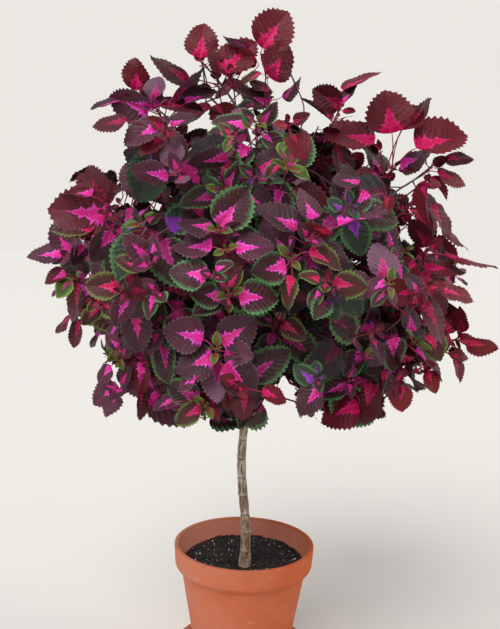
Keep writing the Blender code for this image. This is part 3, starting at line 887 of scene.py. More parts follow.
# Places where the photograph shows through the crown: middle and radius in pixels
SKY = {
    "left_upper": ((124, 206), 6),
    "left_upper_right": ((156, 206), 5),
    "left_notch": ((112, 148), 9),
    "upper_middle": ((250, 142), 8),
    "top_left_notch": ((176, 90), 12),
    "top_gap": ((258, 72), 8),
    "right_upper": ((412, 186), 8),
    "right_high_stem": ((398, 142), 5),
    "right_inner": ((356, 265), 5),
    "right_side": ((404, 236), 2),
    "low_gap": ((286, 385), 7),
    "right_notch": ((470, 205), 12),
}


# Outline of the crown's body in the photograph, in pixels; only the shown shoots reach beyond it
BODY_OUTLINE = (
    (30, 258), (44, 214), (62, 186), (84, 168), (112, 154), (124, 138), (132, 118), (164, 106),
    (204, 100), (238, 90), (262, 85), (286, 92), (294, 110), (316, 122), (338, 112), (366, 114),
    (384, 150), (402, 186), (428, 216), (448, 242), (466, 264), (476, 290), (470, 312), (460, 332),
    (448, 350), (436, 370), (424, 388), (404, 406), (366, 424), (330, 426), (302, 412), (290, 392),
    (272, 384), (262, 404), (248, 428), (220, 432), (184, 430), (166, 414), (142, 410), (124, 396),
    (108, 384), (100, 352), (86, 336), (68, 320), (54, 300), (44, 284),
)


def in_body(pixel):
    """Whether a pixel is inside the outline of the crown's body."""
    inside = False
    before = BODY_OUTLINE[-1]
    for corner in BODY_OUTLINE:
        if (corner[1] > pixel[1]) != (before[1] > pixel[1]):
            share = (pixel[1] - corner[1]) / (before[1] - corner[1])
            if pixel[0] < corner[0] + share * (before[0] - corner[0]):
                inside = not inside
        before = corner
    return inside


def place_on_crown(pixel):
    """Where the camera's line through a pixel meets the crown, or comes nearest to it."""
    line = sight_line(pixel)
    hit = CROWN.ray_cast(CAMERA_PLACE, line)
    if hit[0] is not None:
        return hit[0]
    best = None
    for step in range(24):
        point = CAMERA_PLACE + line * (1.25 + 0.03 * step)
        near = CROWN.find_nearest(point)
        if best is None or near[3] < best[0]:
            best = (near[3], point)
    return best[1]


def depth_of_mass(name):
    """How far away the camera sees the middle of an outlying mass."""
    return float(seen_at([MASS_MIDDLES["foliage_shoot_" + SHOOT_MASSES[name]]])[1][0])


def stem_through(pixels, heart, name):
    """A smooth line in space that the camera sees through pixels, ending at a shoot's heart."""
    start = CROWN.ray_cast(CAMERA_PLACE, sight_line(pixels[0]))[0]
    near = (start - CAMERA_PLACE).length / sight_line(pixels[0]).length + STEM_FROM_INSIDE
    far = depth_of_mass(name) if name in SHOOT_MASSES else near
    line = []
    stops = pixels + (heart,)
    for index, pixel in enumerate(stops):
        share = index / (len(stops) - 1)
        share = math.sin(share * math.pi / 2)
        line.append(CAMERA_PLACE + sight_line(pixel) * (near * (1 - share) + far * share))
    return rounded_line(spread_line(line, [0.0] * len(line), STEM_STEP / 2)[0], 4)


def plain_shoot(name, spec):
    """A shoot set where the photograph shows it, with its large leaves from base to tip."""
    heart, shown = spec
    rng = random.Random(f"{SEED} {name}")
    if name in SHOOT_MASSES:
        place = CAMERA_PLACE + sight_line(heart) * depth_of_mass(name)
    else:
        place = place_on_crown(heart)
    toward = (CAMERA_PLACE - place).normalized()
    tip = place + toward * SHOOT_STANDS_OUT
    depth = (tip - CAMERA_PLACE).length / sight_line(heart).length
    axis = (outward(tip) * 0.6 + toward * 0.7 + UP * 0.25).normalized()
    leaves = []
    for number, (kind, base_pixel, tip_pixel, openness, *broader) in enumerate(shown):
        broad = broader[0] if broader else 1.0
        shift = toward * (0.004 * number - 0.006)
        base = CAMERA_PLACE + sight_line(base_pixel) * depth + shift
        end = CAMERA_PLACE + sight_line(tip_pixel) * depth + toward * rng.uniform(-0.016, 0.0)
        along = (end - base).normalized()
        length = (end - base).length * 1.03
        turned = math.acos(openness) * (1 if rng.random() < 0.7 else -1)
        facing = (toward + UP * 0.12).normalized()
        facing = (facing - along * facing.dot(along)).normalized()
        sideways = along.cross(facing)
        if sideways.z < 0:
            sideways = -sideways
        facing = facing * math.cos(turned) + sideways * math.sin(turned)
        root = tip - axis * (0.012 + 0.008 * number)
        flames = FORMS["fine", KIND_MARGIN.get(kind, "thin")][:OWN_FLAMES]
        leaves.append({"kind": kind, "root": root, "base": base, "along": along, "normal": facing,
                       "length": length, "width": rng.uniform(1.04, 1.14) * broad,
                       "droop": math.radians(rng.uniform(4, 24)), "leave": (base - root).normalized(),
                       "form": rng.choice(flames), "rng": rng, "own": True, "small": False})
    return {"tip": tip, "axis": axis, "kind": shown[0][0], "rng": rng, "leaves": leaves,
            "inner": False, "plain": True, "green_heart": name in GREEN_HEARTS}


def spray_kind(point, rng, inner):
    """The colours of a spray, by where it grows: wine in the sun at the top and on the right, purple on the left,
    green margins low in the middle, and near black inside, which is painted shade."""
    if inner:
        return rng.choices(("night", "claret", "shade_green", "dusk"), (5, 2, 2, 2))[0]
    patch = 0.35 * noise.noise(point * 5.0)
    sun = (point.x - 0.10) / 0.36 + max(0.0, point.z - 1.02) / 0.22 + patch
    low_sun = (point.x - 0.02) / 0.30 + (0.78 - point.z) / 0.25 + patch
    if sun > 0.55:
        return rng.choices(("wine", "claret", "russet", "plum", "olive_rim", "green_rim"),
                           (8, 4, 2, 2, 1, 1))[0]
    if low_sun > 0.9:
        return rng.choices(("wine", "claret", "fern_rim", "dusk", "green_rim"), (4, 4, 3, 3, 2))[0]
    if point.x < -0.17:
        return rng.choices(("plum", "dusk", "rose", "green_rim", "fern_rim", "olive_rim"),
                           (5, 4, 3, 2, 3, 1))[0]
    return rng.choices(("plum", "dusk", "green_rim", "violet_green", "olive_rim", "fern_rim", "claret"),
                       (5, 4, 3, 2, 2, 4, 2))[0]


def crown_sites(spacing, inset, taken, seed):
    """Places for shoots, spread evenly over the outside of the crown and set in from it."""
    rng = random.Random(seed)
    areas = []
    total = 0.0
    for face in CROWN_FACES:
        a, b, c = (CROWN_CORNERS[corner] for corner in face)
        total += (b - a).cross(c - a).length / 2
        areas.append(total)
    areas = np.array(areas)
    sites = []
    kept = [tuple(place) for place in taken]
    for attempt in range(9000):
        face = CROWN_FACES[int(np.searchsorted(areas, rng.random() * total))]
        a, b, c = (CROWN_CORNERS[corner] for corner in face)
        u, v = rng.random(), rng.random()
        if u + v > 1:
            u, v = 1 - u, 1 - v
        point = a + (b - a) * u + (c - a) * v
        out = outward(point)
        if CROWN.ray_cast(point + out * 0.006, out, 0.30)[0] is not None:
            continue
        site = point - out * inset
        if kept:
            near = np.array(kept) - np.array(site)
            if np.min(np.einsum("ij,ij->i", near, near)) < spacing ** 2:
                continue
        kept.append(tuple(site))
        sites.append((site, out))
    return sites


def free_shoot(site, out, inner, seed):
    """A shoot that grows where the crown has room."""
    rng = random.Random(seed)
    jitter = Vector((rng.gauss(0, 1), rng.gauss(0, 1), rng.gauss(0, 1))) * 0.22
    axis = (out + UP * rng.uniform(0.15, 0.55) + jitter).normalized()
    site = site + UP * max(0.0, LOWEST_SHOOT - site.z)
    return {"tip": site, "axis": axis, "kind": spray_kind(site, rng, inner), "rng": rng,
            "leaves": [], "inner": inner, "plain": False, "green_heart": rng.random() < 0.25 and site.z < SUNNY_TOP}


def size_by_place(point):
    """Leaves are larger high up and on the sides than low in front."""
    return 1.0 + 0.16 * max(0.0, min(1.0, (abs(point.x) - 0.2) / 0.2)) + 0.12 * max(0.0, point.z - 1.0) / 0.3


def pair_leaves(shoot):
    """The leaf pairs of a shoot, each turned a quarter against the one above."""
    rng = shoot["rng"]
    axis = shoot["axis"]
    first = axis.orthogonal().normalized()
    second = axis.cross(first)
    start = rng.uniform(0, math.tau)
    size = size_by_place(shoot["tip"]) * rng.uniform(0.86, 1.14)
    pairs = INNER_PAIRS if shoot["inner"] else PAIRS
    for order, (below, length, rise, fineness) in enumerate(pairs):
        for opposite in (0, 1):
            angle = start + order * math.pi / 2 + opposite * math.pi + rng.gauss(0, 0.12)
            radial = first * math.cos(angle) + second * math.sin(angle)
            lift = math.radians(rise + rng.gauss(0, 7))
            along = radial * math.cos(lift) + axis * math.sin(lift)
            normal = axis * math.cos(lift) - radial * math.sin(lift)
            big = min(1.0, length / 0.07)
            along = (along - UP * GRAVITY * big * rng.uniform(0.5, 1.5)).normalized()
            out = outward(shoot["tip"])
            if big == 1.0 and along.dot(out) < -0.45 and rng.random() < 0.6:
                continue
            normal = (normal + UP * 0.30 + out * 0.20).normalized()
            real = length * size * rng.uniform(0.86, 1.14)
            root = shoot["tip"] - axis * below * size
            leave = (radial * 0.7 + along * 0.6).normalized()
            base = root + leave * real * STALK_SHARE
            kind, slim = rng.choice(NEIGHBOURS[shoot["kind"]]), 1.0
            if length < 0.03 and not shoot["inner"]:
                likely = 0.9 if shoot["green_heart"] else 0.0
                if rng.random() < likely:
                    kind, slim = "heart", HEART_WIDTH
            # Lower leaves may take darker kinds; the near-black one among them is painted shade.
            elif below > 0.045 and rng.random() < 0.45:
                kind = rng.choice(("claret", "dusk", "night", "shade_green", "fern_rim"))
            shoot["leaves"].append({
                "kind": kind, "root": root, "base": base, "along": along, "normal": normal,
                "length": real, "width": rng.uniform(0.84, 1.10) * slim, "leave": leave,
                "droop": math.radians(rng.uniform(8, 48)) * big,
                "form": rng.choice(FORMS[fineness, KIND_MARGIN.get(kind, "thin")]),
                "rng": rng, "own": False, "small": length < 0.05})


def far_enough(shoots):
    """Drop leaves that would cover a plain shoot's leaves or close a gap to the sky."""
    kept_leaves = [leaf for shoot in shoots for leaf in shoot["leaves"] if leaf["own"]]
    starts, depth = seen_at([leaf["base"] for leaf in kept_leaves])
    ends, end_depth = seen_at([leaf["base"] + leaf["along"] * leaf["length"] for leaf in kept_leaves])
    spans = ends - starts
    squares = np.einsum("ij,ij->i", spans, spans)
    limit = np.sqrt(squares) * 0.30
    nearest = np.minimum(depth, end_depth)
    dropped = 0
    for shoot in shoots:
        kept = []
        for leaf in shoot["leaves"]:
            middle = leaf["base"] + leaf["along"] * leaf["length"] * 0.5
            end = leaf["base"] + leaf["along"] * leaf["length"]
            pixels, depths = seen_at([middle, end])
            closes = False
            for (x, y), radius in SKY.values():
                room = radius + 0.30 * leaf["length"] * FOCAL_PIXELS / depths[0]
                closes = closes or math.hypot(pixels[0][0] - x, pixels[0][1] - y) < room
            if leaf["own"]:
                kept.append(leaf)
                continue
            if min(middle.z, end.z) < LOWEST_LEAF + 0.03 * max(0.0, -end.y / 0.3):
                continue
            free = leaf["small"] and shoot["plain"]
            if not free and not (in_body(pixels[0]) and in_body(pixels[0] * 0.3 + pixels[1] * 0.7)):
                dropped += 1
                continue
            if free and leaf["length"] < 0.036 and not closes:
                kept.append(leaf)
                continue
            along = np.clip(np.einsum("ij,ij->i", pixels[0] - starts, spans) / squares, 0.1, 0.9)
            gap = np.linalg.norm(starts + spans * along[:, None] - pixels[0], axis=1)
            reach = limit + 0.26 * leaf["length"] * FOCAL_PIXELS / depths[0] * (0.4 if leaf["small"] else 1.0)
            if closes or bool(np.any((gap < reach) & (depths[0] < nearest + 0.015))):
                dropped += 1
                continue
            kept.append(leaf)
        shoot["leaves"] = kept if shoot["plain"] or len(kept) >= FEWEST_LEAVES else []
    return dropped


# Growth of the stems

class Skeleton:
    """Stem points with their parents, and the twigs drawn along them."""

    def __init__(self):
        self.places = []
        self.parents = []
        self.ways = []
        self.fixed = []
        self.loads = []
        self.twigs = []

    def add(self, place, parent, way, fixed=0.0):
        self.places.append(place)
        self.parents.append(parent)
        self.ways.append(way)
        self.fixed.append(fixed)
        self.loads.append(0)
        return len(self.places) - 1

    def add_line(self, line, radii, parent=-1):
        """Add a packed limb, whose radii are known."""
        for index, place in enumerate(line):
            ahead = line[min(index + 1, len(line) - 1)] - line[max(index - 1, 0)]
            parent = self.add(place, parent, ahead.normalized(), radii[index])
        return parent

    def best_parent(self, start, way):
        """The stem point from which a twig to the start would be short and grow outward."""
        places = np.array(self.places)
        gaps = np.array(start) - places
        lengths = np.linalg.norm(gaps, axis=1)
        ways = np.array(self.ways)
        turn = np.einsum("ij,ij->i", gaps, ways) / np.maximum(lengths, 1e-4)
        core = np.array(CROWN_MIDDLE)
        further = np.linalg.norm(places - core, axis=1) - np.linalg.norm(np.array(start) - core)
        cost = lengths * (1.25 - 0.45 * turn) + 0.9 * np.maximum(further, 0.0)
        cost[places[:, 2] < 0.60] += 10.0
        return int(np.argmin(cost))

    def grow_to(self, tip, axis, bare):
        """A twig from the nearest fitting stem to a shoot's tip, arriving along its axis."""
        start = tip - axis * bare
        parent = self.best_parent(start, axis)
        origin = self.places[parent]
        span = (start - origin).length
        leave = (self.ways[parent] * 0.5 + (start - origin).normalized()).normalized()
        steps = max(2, int(span / STEM_STEP))
        line = curve_between(origin, origin + leave * span * 0.35, start - axis * span * 0.30,
                             start, steps)
        line += [start + axis * bare * share for share in (0.25, 0.5, 0.75, 1.0)]
        chain = [parent]
        for index in range(1, len(line)):
            ahead = (line[min(index + 1, len(line) - 1)] - line[index - 1]).normalized()
            chain.append(self.add(line[index], chain[-1], ahead))
        self.twigs.append(chain)
        return chain

    def carry(self):
        """Count the tips beyond each point, which sets how thick its stem is."""
        for chain in self.twigs:
            self.loads[chain[-1]] += 1
        for index in range(len(self.places) - 1, -1, -1):
            if self.parents[index] >= 0:
                self.loads[self.parents[index]] += self.loads[index]

    def show(self, line, thick, thin):
        """A bare stem that shows, carried by a twig from inside the crown."""
        chain = self.grow_to(line[0], (line[1] - line[0]).normalized(), 0.03)
        for index, place in enumerate(line[1:], 1):
            ahead = (line[min(index + 1, len(line) - 1)] - line[index - 1]).normalized()
            radius = thick + (thin - thick) * index / (len(line) - 1)
            chain.append(self.add(place, chain[-1], ahead, radius))

    def radius(self, index):
        """A stem's radius at a point."""
        return self.fixed[index] or min(TIP_RADIUS * max(self.loads[index], 1) ** STEM_POWER,
                                        STEM_LARGEST)


def grow_crown():
    """All the shoots of the crown, and the skeleton that carries them."""
    shoots = [plain_shoot(name, spec) for name, spec in PLAIN_SHOOTS.items()]
    taken = [shoot["tip"] - outward(shoot["tip"]) * SHOOT_INSET for shoot in shoots]
    outer = crown_sites(SHOOT_SPACING, SHOOT_INSET, taken, SEED)
    outer = [(site, out) for site, out in outer if in_body(seen_at([site])[0][0])]
    for number, (site, out) in enumerate(outer):
        shoots.append(free_shoot(site, out, False, SEED + number))
    met = {owner_of(shoot["tip"]) for shoot in shoots}
    for number, mass in enumerate(mass for mass in MASSES if mass not in met):
        middle = MASS_MIDDLES[mass]
        shoots.append(free_shoot(middle, outward(middle), False, SEED + 3000 + number))
    inner = crown_sites(INNER_SPACING, INNER_INSET, [], SEED + 1)
    for number, (site, out) in enumerate(inner):
        shoots.append(free_shoot(site, out, True, SEED + 5000 + number))
    for shoot in shoots:
        pair_leaves(shoot)
    dropped = far_enough(shoots)
    skeleton = Skeleton()
    skeleton.add_line(TRUNK_MIDDLES, TRUNK_RADII)
    late = []
    for bough, (line, radii) in BOUGH_LINES.items():
        if "shoot" in bough:
            late.append((line, [radius * CLEAR_STEM_SHARE for radius in radii]))
        else:
            skeleton.add_line(line, radii)
    for line, radii in late:
        way = (line[1] - line[0]).normalized()
        chain = skeleton.grow_to(line[0], way, 0.03)
        skeleton.add_line(line, radii, chain[-1])
    for name, (pixels, thick, thin) in SHOWN_STEMS.items():
        skeleton.show(stem_through(pixels, PLAIN_SHOOTS[name][0], name), thick, thin)
    core = CROWN_MIDDLE
    for shoot in sorted(shoots, key=lambda item: (item["tip"] - core).length):
        if not shoot["leaves"]:
            continue
        skeleton.grow_to(shoot["tip"], shoot["axis"], 0.05 if shoot["inner"] else BARE_STEM)
    skeleton.carry()
    print(f"shoots {len(shoots)}, outer {len(outer)}, inner {len(inner)}, dropped {dropped}")
    return shoots, skeleton


def dealt(leaves):
    """The mass of each leaf: the one it is in, while a mass with none takes the nearest few."""
    middles = [leaf["base"] + leaf["along"] * leaf["length"] * 0.5 for leaf in leaves]
    owners = [owner_of(middle) for middle in middles]
    for mass in MASSES:
        if mass not in owners:
            place = MASS_MIDDLES[mass]
            nearest = sorted(range(len(leaves)), key=lambda index: (middles[index] - place).length)
            print("nearest leaves for", mass, [round((middles[index] - place).length, 3) for index in nearest[:4]])
            for index in nearest[:4]:
                owners[index] = mass
    return owners


def make_leaves(shoots):
    """One piece of leaves for each mass."""
    sheets = {mass: Sheet() for mass in MASSES}
    leaves = [leaf for shoot in shoots for leaf in shoot["leaves"]]
    for leaf, mass in zip(leaves, dealt(leaves)):
        add_leaf(sheets[mass], leaf)
    total = 0
    for mass, sheet in sheets.items():
        total += sheet.triangles()
        if not sheet.points:
            print("no leaves in", mass)
        piece = sheet.piece(mass.replace("foliage", "leaves"), "foliage")
        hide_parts(mass)
        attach(piece, "root")
    print(f"leaf triangles {total}")


def make_twigs(skeleton):
    """The stems that carry the shoots, thicker where they carry more."""
    sheet = Sheet()
    old = sheet.slot(STEM_MATERIAL)
    young = sheet.slot(TIP_STEM_MATERIAL)
    for chain in skeleton.twigs:
        line = [skeleton.places[index] for index in chain]
        radii = [skeleton.radius(index) for index in chain[1:]]
        radii = [radii[0] * 1.15] + radii
        points, quads = tube_arrays(line, radii, 6)
        slots = np.full(len(quads), old)
        slots[-5 * 6:] = young
        sheet.add(points, ((quads, slots),))
    piece = sheet.piece("twigs", "young_stem")
    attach(piece, "root")
    print(f"twig triangles {sheet.triangles()}")


# Bark

BARK_STEP = 0.0022
BARK_SIDES = 40
BARK_CRACKS = 0.00045
NODE_SPACING = 0.0425
# How far the soil sinks round the trunk, which goes down with it
SOIL_DIP = 0.020


def bark_limb(sheet, middles, radii, step, sides, cracks, scars, slot, ring_slots=None):
    """A limb with bark relief: lengthwise cracks, uneven swelling and leaf scars at its joints.

    The ring slots are those of the pale swelling at each joint and of the dark line below it.
    """
    line, thick = spread_line(middles, radii, step)
    line = rounded_line(line, 12)
    points, quads = tube_arrays(line, thick, sides)
    moved = []
    base = line[0].z
    for index, point in enumerate(points):
        ring = index // sides
        middle = line[ring]
        place = Vector(point)
        out = (place - middle).normalized()
        crack = noise.noise(Vector((place.x * 420, place.y * 420, place.z * 60)))
        lump = noise.noise(place * 75.0)
        shift = cracks * (crack * 0.9 + lump * 0.9)
        if scars:
            joint = round((place.z - base) / NODE_SPACING)
            from_joint = (place.z - base) - joint * NODE_SPACING
            angle = math.atan2(out.y, out.x) + joint * math.pi / 2
            facing = abs(math.cos(angle)) ** 4
            uneven = 0.6 + 0.8 * abs(noise.noise(Vector((out.x * 2, out.y * 2, joint * 3.7))))
            shift += 0.0018 * uneven * facing * math.exp(-(from_joint / 0.0036) ** 2)
            shift -= 0.0006 * uneven * math.exp(-((from_joint + 0.0046) / 0.0013) ** 2)
            shift += 0.0004 * uneven * math.exp(-(from_joint / 0.0026) ** 2)
        moved.append(place + out * shift)
    slots = np.full(len(quads), slot)
    if ring_slots:
        for ring in range(len(line) - 1):
            height = (line[ring].z + line[ring + 1].z) / 2 - base
            joint = round(height / NODE_SPACING)
            for side in range(sides):
                wavy = 0.0018 * noise.noise(Vector((side * 0.4, joint * 5.3, 0.0)))
                from_joint = height + wavy - joint * NODE_SPACING
                if abs(from_joint) < 0.0024:
                    slots[ring * sides + side] = ring_slots[0]
                elif -0.0060 < from_joint < -0.0036:
                    slots[ring * sides + side] = ring_slots[1]
    first, last = 0, len(points) - sides
    ends = np.array([[first + side for side in range(sides)][::-1],
                     [last + side for side in range(sides)]])
    sheet.add(np.array(moved), ((quads, slots), (ends, slot)))


def make_bark():
    """The trunk's bark, and the boughs' bark inside the crown."""
    finish = bark_material("bark_grey_brown", (80, 56, 42), (158, 128, 100), (226, 206, 184))
    joint = bark_material("bark_joint_pale", (126, 106, 90), (182, 162, 142), (226, 214, 198))
    below = bark_material("bark_joint_dark", (58, 42, 34), (100, 78, 62), (150, 126, 106))
    trunk = Sheet()
    foot = TRUNK_MIDDLES[0] - UP * SOIL_DIP
    bark_limb(trunk, [foot] + TRUNK_MIDDLES, [TRUNK_RADII[0]] + TRUNK_RADII, BARK_STEP, BARK_SIDES,
              BARK_CRACKS, True, trunk.slot(finish), (trunk.slot(joint), trunk.slot(below)))
    piece = trunk.piece("trunk_bark", "bark")
    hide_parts("trunk")
    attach(piece, "root")
    boughs, stems = Sheet(), Sheet()
    bough_names = [bough for bough in BOUGHS if "shoot" not in bough]
    for bough in bough_names:
        middles, radii = BOUGH_LINES[bough]
        bark_limb(boughs, middles, radii, 0.0045, 16, 0.0003, False, boughs.slot(finish))
    piece = boughs.piece("boughs_bark", "bark")
    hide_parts(*bough_names)
    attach(piece, "root")
    stem_names = [bough for bough in BOUGHS if "shoot" in bough]
    for bough in stem_names:
        middles, radii = BOUGH_LINES[bough]
        bark_limb(stems, middles, [radius * CLEAR_STEM_SHARE for radius in radii], 0.0045, 12,
                  0.00015, False, stems.slot(STEM_MATERIAL))
    piece = stems.piece("shoot_stems", "young_stem")
    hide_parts(*stem_names)
    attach(piece, "root")


# Pot, saucer and soil

POT_FOOT_RADIUS = 0.1005
POT_NECK_RADIUS = 0.1375
POT_RIM_RADIUS = 0.155
POT_BASE_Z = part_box("pot")[0][2]
POT_RIM_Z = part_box("pot")[1][2]
POT_BAND_HEIGHT = 0.057
POT_BAND_TAPER = 0.003
POT_BAND_EDGE = 0.011
POT_LIP = 0.010
POT_WALL = 0.009
POT_FLOOR = 0.014
SAUCER_FOOT_RADIUS = 0.122
SAUCER_RIM_RADIUS = 0.150
SAUCER_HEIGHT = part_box("saucer")[1][2]
SAUCER_FLOOR = 0.010
SAUCER_WALL = 0.008
TURNED_SEGMENTS = 144
CREST_RINGS = 5


def rounded_profile(corners):
    """A profile with each corner replaced by a short arc of the radius given with it."""
    line = []
    for index, (radius, height, bend) in enumerate(corners):
        here = Vector((radius, height))
        if bend == 0.0 or index in (0, len(corners) - 1):
            line.append(here)
            continue
        before = Vector(corners[index - 1][:2])
        after = Vector(corners[index + 1][:2])
        start = here + (before - here).normalized() * min(bend, (before - here).length * 0.45)
        finish = here + (after - here).normalized() * min(bend, (after - here).length * 0.45)
        for step in range(6):
            t = step / 5
            line.append(start * (1 - t) ** 2 + here * 2 * t * (1 - t) + finish * t ** 2)
    return line


def close_profile(line, step):
    """The profile with long stretches divided."""
    made = []
    for start, finish in zip(line, line[1:]):
        count = max(1, int((finish - start).length / step))
        made += [start.lerp(finish, part / count) for part in range(count)]
    made.append(line[-1])
    return made


def turned_piece(name, corners, finish, inside, slot, replaced, unevenness):
    """A thrown clay piece: its rounded profile turned round, a little uneven, with another
    finish on its inside."""
    line = close_profile(rounded_profile(corners), 0.006)
    points = []
    for point in line[1:-1]:
        for step in range(TURNED_SEGMENTS):
            angle = math.tau * step / TURNED_SEGMENTS
            place = Vector((point.x * math.cos(angle), point.x * math.sin(angle), point.y))
            shift = unevenness * noise.noise(place * 14.0)
            points.append(place + Vector((math.cos(angle), math.sin(angle), 0.0)) * shift)
    first = len(points)
    points += [Vector((0, 0, line[0].y)), Vector((0, 0, line[-1].y))]
    quads, triangles = [], []
    rings = len(line) - 2
    for step in range(TURNED_SEGMENTS):
        after = (step + 1) % TURNED_SEGMENTS
        triangles.append((first, after, step))
        top = (rings - 1) * TURNED_SEGMENTS
        triangles.append((first + 1, top + step, top + after))
        for ring in range(rings - 1):
            low = ring * TURNED_SEGMENTS
            high = low + TURNED_SEGMENTS
            quads.append((low + step, low + after, high + after, high + step))
    crest = max(range(rings), key=lambda ring: line[ring + 1].y) + CREST_RINGS
    sheet = Sheet()
    number, inner = sheet.slot(finish), sheet.slot(inside)
    slots = np.array([inner if ring > crest else number
                      for step in range(TURNED_SEGMENTS) for ring in range(rings - 1)])
    sheet.add(np.array(points), ((np.array(quads), slots), (np.array(triangles), number)))
    piece = sheet.piece(name, slot)
    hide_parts(replaced)
    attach(piece, "root")


def make_pottery():
    """The pot and its saucer."""
    clay = clay_material("clay_pot", (196, 116, 88), (190, 84, 34), (218, 152, 124), 0.014)
    # The inside is a lighter copy of the pot's clay: painted light on the inner wall, which lies in shade
    inside = clay_material("clay_inside_painted_light", (212, 136, 116), (196, 112, 86), (222, 166, 148), 0.0)
    dish = clay_material("clay_saucer", (184, 104, 76), (186, 86, 44), (212, 146, 116), 0.0)
    neck_z = POT_RIM_Z - POT_BAND_HEIGHT
    floor_z = POT_BASE_Z + POT_FLOOR
    wall = POT_WALL
    pot = (
        (0.0, POT_BASE_Z, 0.0),
        (POT_FOOT_RADIUS, POT_BASE_Z, 0.003),
        (POT_NECK_RADIUS, neck_z, 0.003),
        (POT_RIM_RADIUS - POT_BAND_TAPER, neck_z + POT_BAND_EDGE, 0.007),
        (POT_RIM_RADIUS, POT_RIM_Z, 0.0035),
        (POT_RIM_RADIUS - POT_LIP, POT_RIM_Z, 0.0035),
        (POT_NECK_RADIUS - wall, neck_z, 0.006),
        (POT_FOOT_RADIUS - wall, floor_z, 0.004),
        (0.0, floor_z, 0.0),
    )
    turned_piece("pot_clay", pot, clay, inside, "terracotta", "pot", 0.0006)
    saucer = (
        (0.0, 0.0, 0.0),
        (SAUCER_FOOT_RADIUS, 0.0, 0.003),
        (SAUCER_RIM_RADIUS, SAUCER_HEIGHT, 0.0025),
        (SAUCER_RIM_RADIUS - SAUCER_WALL, SAUCER_HEIGHT, 0.0025),
        (SAUCER_FOOT_RADIUS - SAUCER_WALL, SAUCER_FLOOR, 0.004),
        (0.0, SAUCER_FLOOR, 0.0),
    )
    turned_piece("saucer_clay", saucer, dish, dish, "terracotta", "saucer", 0.0006)


SOIL_Z = 0.240
SOIL_RINGS = 64
SOIL_SEGMENTS = 160
SOIL_EDGE = 0.1298
SOIL_UNDERSIDE = 0.205


def soil_height(x, y):
    """Height of the soil's uneven top."""
    place = Vector((x, y, 0.0))
    away = math.hypot(x - TRUNK_FOOT.x, y - TRUNK_FOOT.y)
    lumps = (0.0042 * noise.noise(place * 26.0) + 0.0034 * noise.noise(place * 90.0)
             + 0.0022 * noise.noise(place * 230.0))
    mound = 0.0040 * math.exp(-((x - 0.030) ** 2 + (y - 0.060) ** 2) / 0.0012)
    sunk = (SOIL_DIP - 0.001) * math.exp(-(away / 0.062) ** 2)
    return SOIL_Z + 0.0035 + lumps * min(1.0, away / 0.02) + mound - sunk


def make_soil():
    """The soil's top with its crumbs, and pale and dark grains scattered over it."""
    points, quads, triangles = [], [], []
    points.append(Vector((0, 0, soil_height(0, 0))))
    for ring in range(1, SOIL_RINGS + 1):
        radius = SOIL_EDGE * ring / SOIL_RINGS
        for step in range(SOIL_SEGMENTS):
            angle = math.tau * step / SOIL_SEGMENTS
            x, y = radius * math.cos(angle), radius * math.sin(angle)
            points.append(Vector((x, y, soil_height(x, y))))
    for step in range(SOIL_SEGMENTS):
        angle = math.tau * step / SOIL_SEGMENTS
        points.append(Vector((0.124 * math.cos(angle), 0.124 * math.sin(angle), SOIL_UNDERSIDE)))
    for step in range(SOIL_SEGMENTS):
        after = (step + 1) % SOIL_SEGMENTS
        triangles.append((0, 1 + step, 1 + after))
        for ring in range(SOIL_RINGS - 1):
            low = 1 + ring * SOIL_SEGMENTS
            high = low + SOIL_SEGMENTS
            quads.append((low + step, high + step, high + after, low + after))
        edge = 1 + (SOIL_RINGS - 1) * SOIL_SEGMENTS
        under = edge + SOIL_SEGMENTS
        quads.append((edge + step, under + step, under + after, edge + after))
    sheet = Sheet()
    number = sheet.slot(soil_material())
    base = np.array([[1 + SOIL_RINGS * SOIL_SEGMENTS + step for step in range(SOIL_SEGMENTS)][::-1]])
    sheet.add(np.array(points), ((np.array(quads), number), (np.array(triangles), number),
                                 (base, number)))
    piece = sheet.piece("soil_bed", "potting_soil")
    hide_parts("soil")
    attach(piece, "root")
    grains = Sheet()
    kinds = ((grains.slot(grain_material("grain_pale", (244, 243, 236))), 110, 0.0011, 0.0026),
             (grains.slot(grain_material("grain_brown", (66, 46, 38))), 300, 0.0014, 0.0044),
             (grains.slot(grain_material("grain_black", (18, 16, 18))), 700, 0.0014, 0.0044),
             (grains.slot(grain_material("grain_grey", (86, 86, 96))), 120, 0.0010, 0.0026),
             (grains.slot(grain_material("grain_mauve", (104, 58, 84))), 50, 0.0012, 0.0034))
    rng = random.Random(SEED + 9)
    for number, count, smallest, largest in kinds:
        for index in range(count):
            away = (SOIL_EDGE - 0.003) * math.sqrt(rng.random())
            angle = rng.uniform(0, math.tau)
            x, y = away * math.cos(angle), away * math.sin(angle)
            if math.hypot(x - TRUNK_FOOT.x, y) < 0.016:
                continue
            size = rng.uniform(smallest, largest)
            middle = Vector((x, y, soil_height(x, y) + size * 0.35))
            add_grain(grains, middle, size, rng, number)
    piece = grains.piece("soil_grains", "potting_soil")
    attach(piece, "root")


def add_grain(sheet, middle, size, rng, number):
    """One broken grain: an uneven solid of eight faces."""
    turn = Matrix.Rotation(rng.uniform(0, math.tau), 3, "Z") @ Matrix.Rotation(rng.uniform(-0.5, 0.5), 3, "X")
    reach = [size * rng.uniform(0.6, 1.2), size * rng.uniform(0.5, 0.9), size * rng.uniform(0.4, 0.8)]
    corners = []
    for axis in range(3):
        for way in (-1, 1):
            corner = Vector((0, 0, 0))
            corner[axis] = way * reach[axis] * rng.uniform(0.8, 1.2)
            corner += Vector((rng.gauss(0, 1), rng.gauss(0, 1), rng.gauss(0, 1))) * size * 0.08
            corners.append(middle + turn @ corner)
    faces = [(0, 2, 4), (2, 1, 4), (1, 3, 4), (3, 0, 4), (2, 0, 5), (1, 2, 5), (3, 1, 5), (0, 3, 5)]
    faces = [tuple(reversed(face)) for face in faces]
    sheet.add(np.array(corners), ((np.array(faces), number),))


# Camera, floor and light

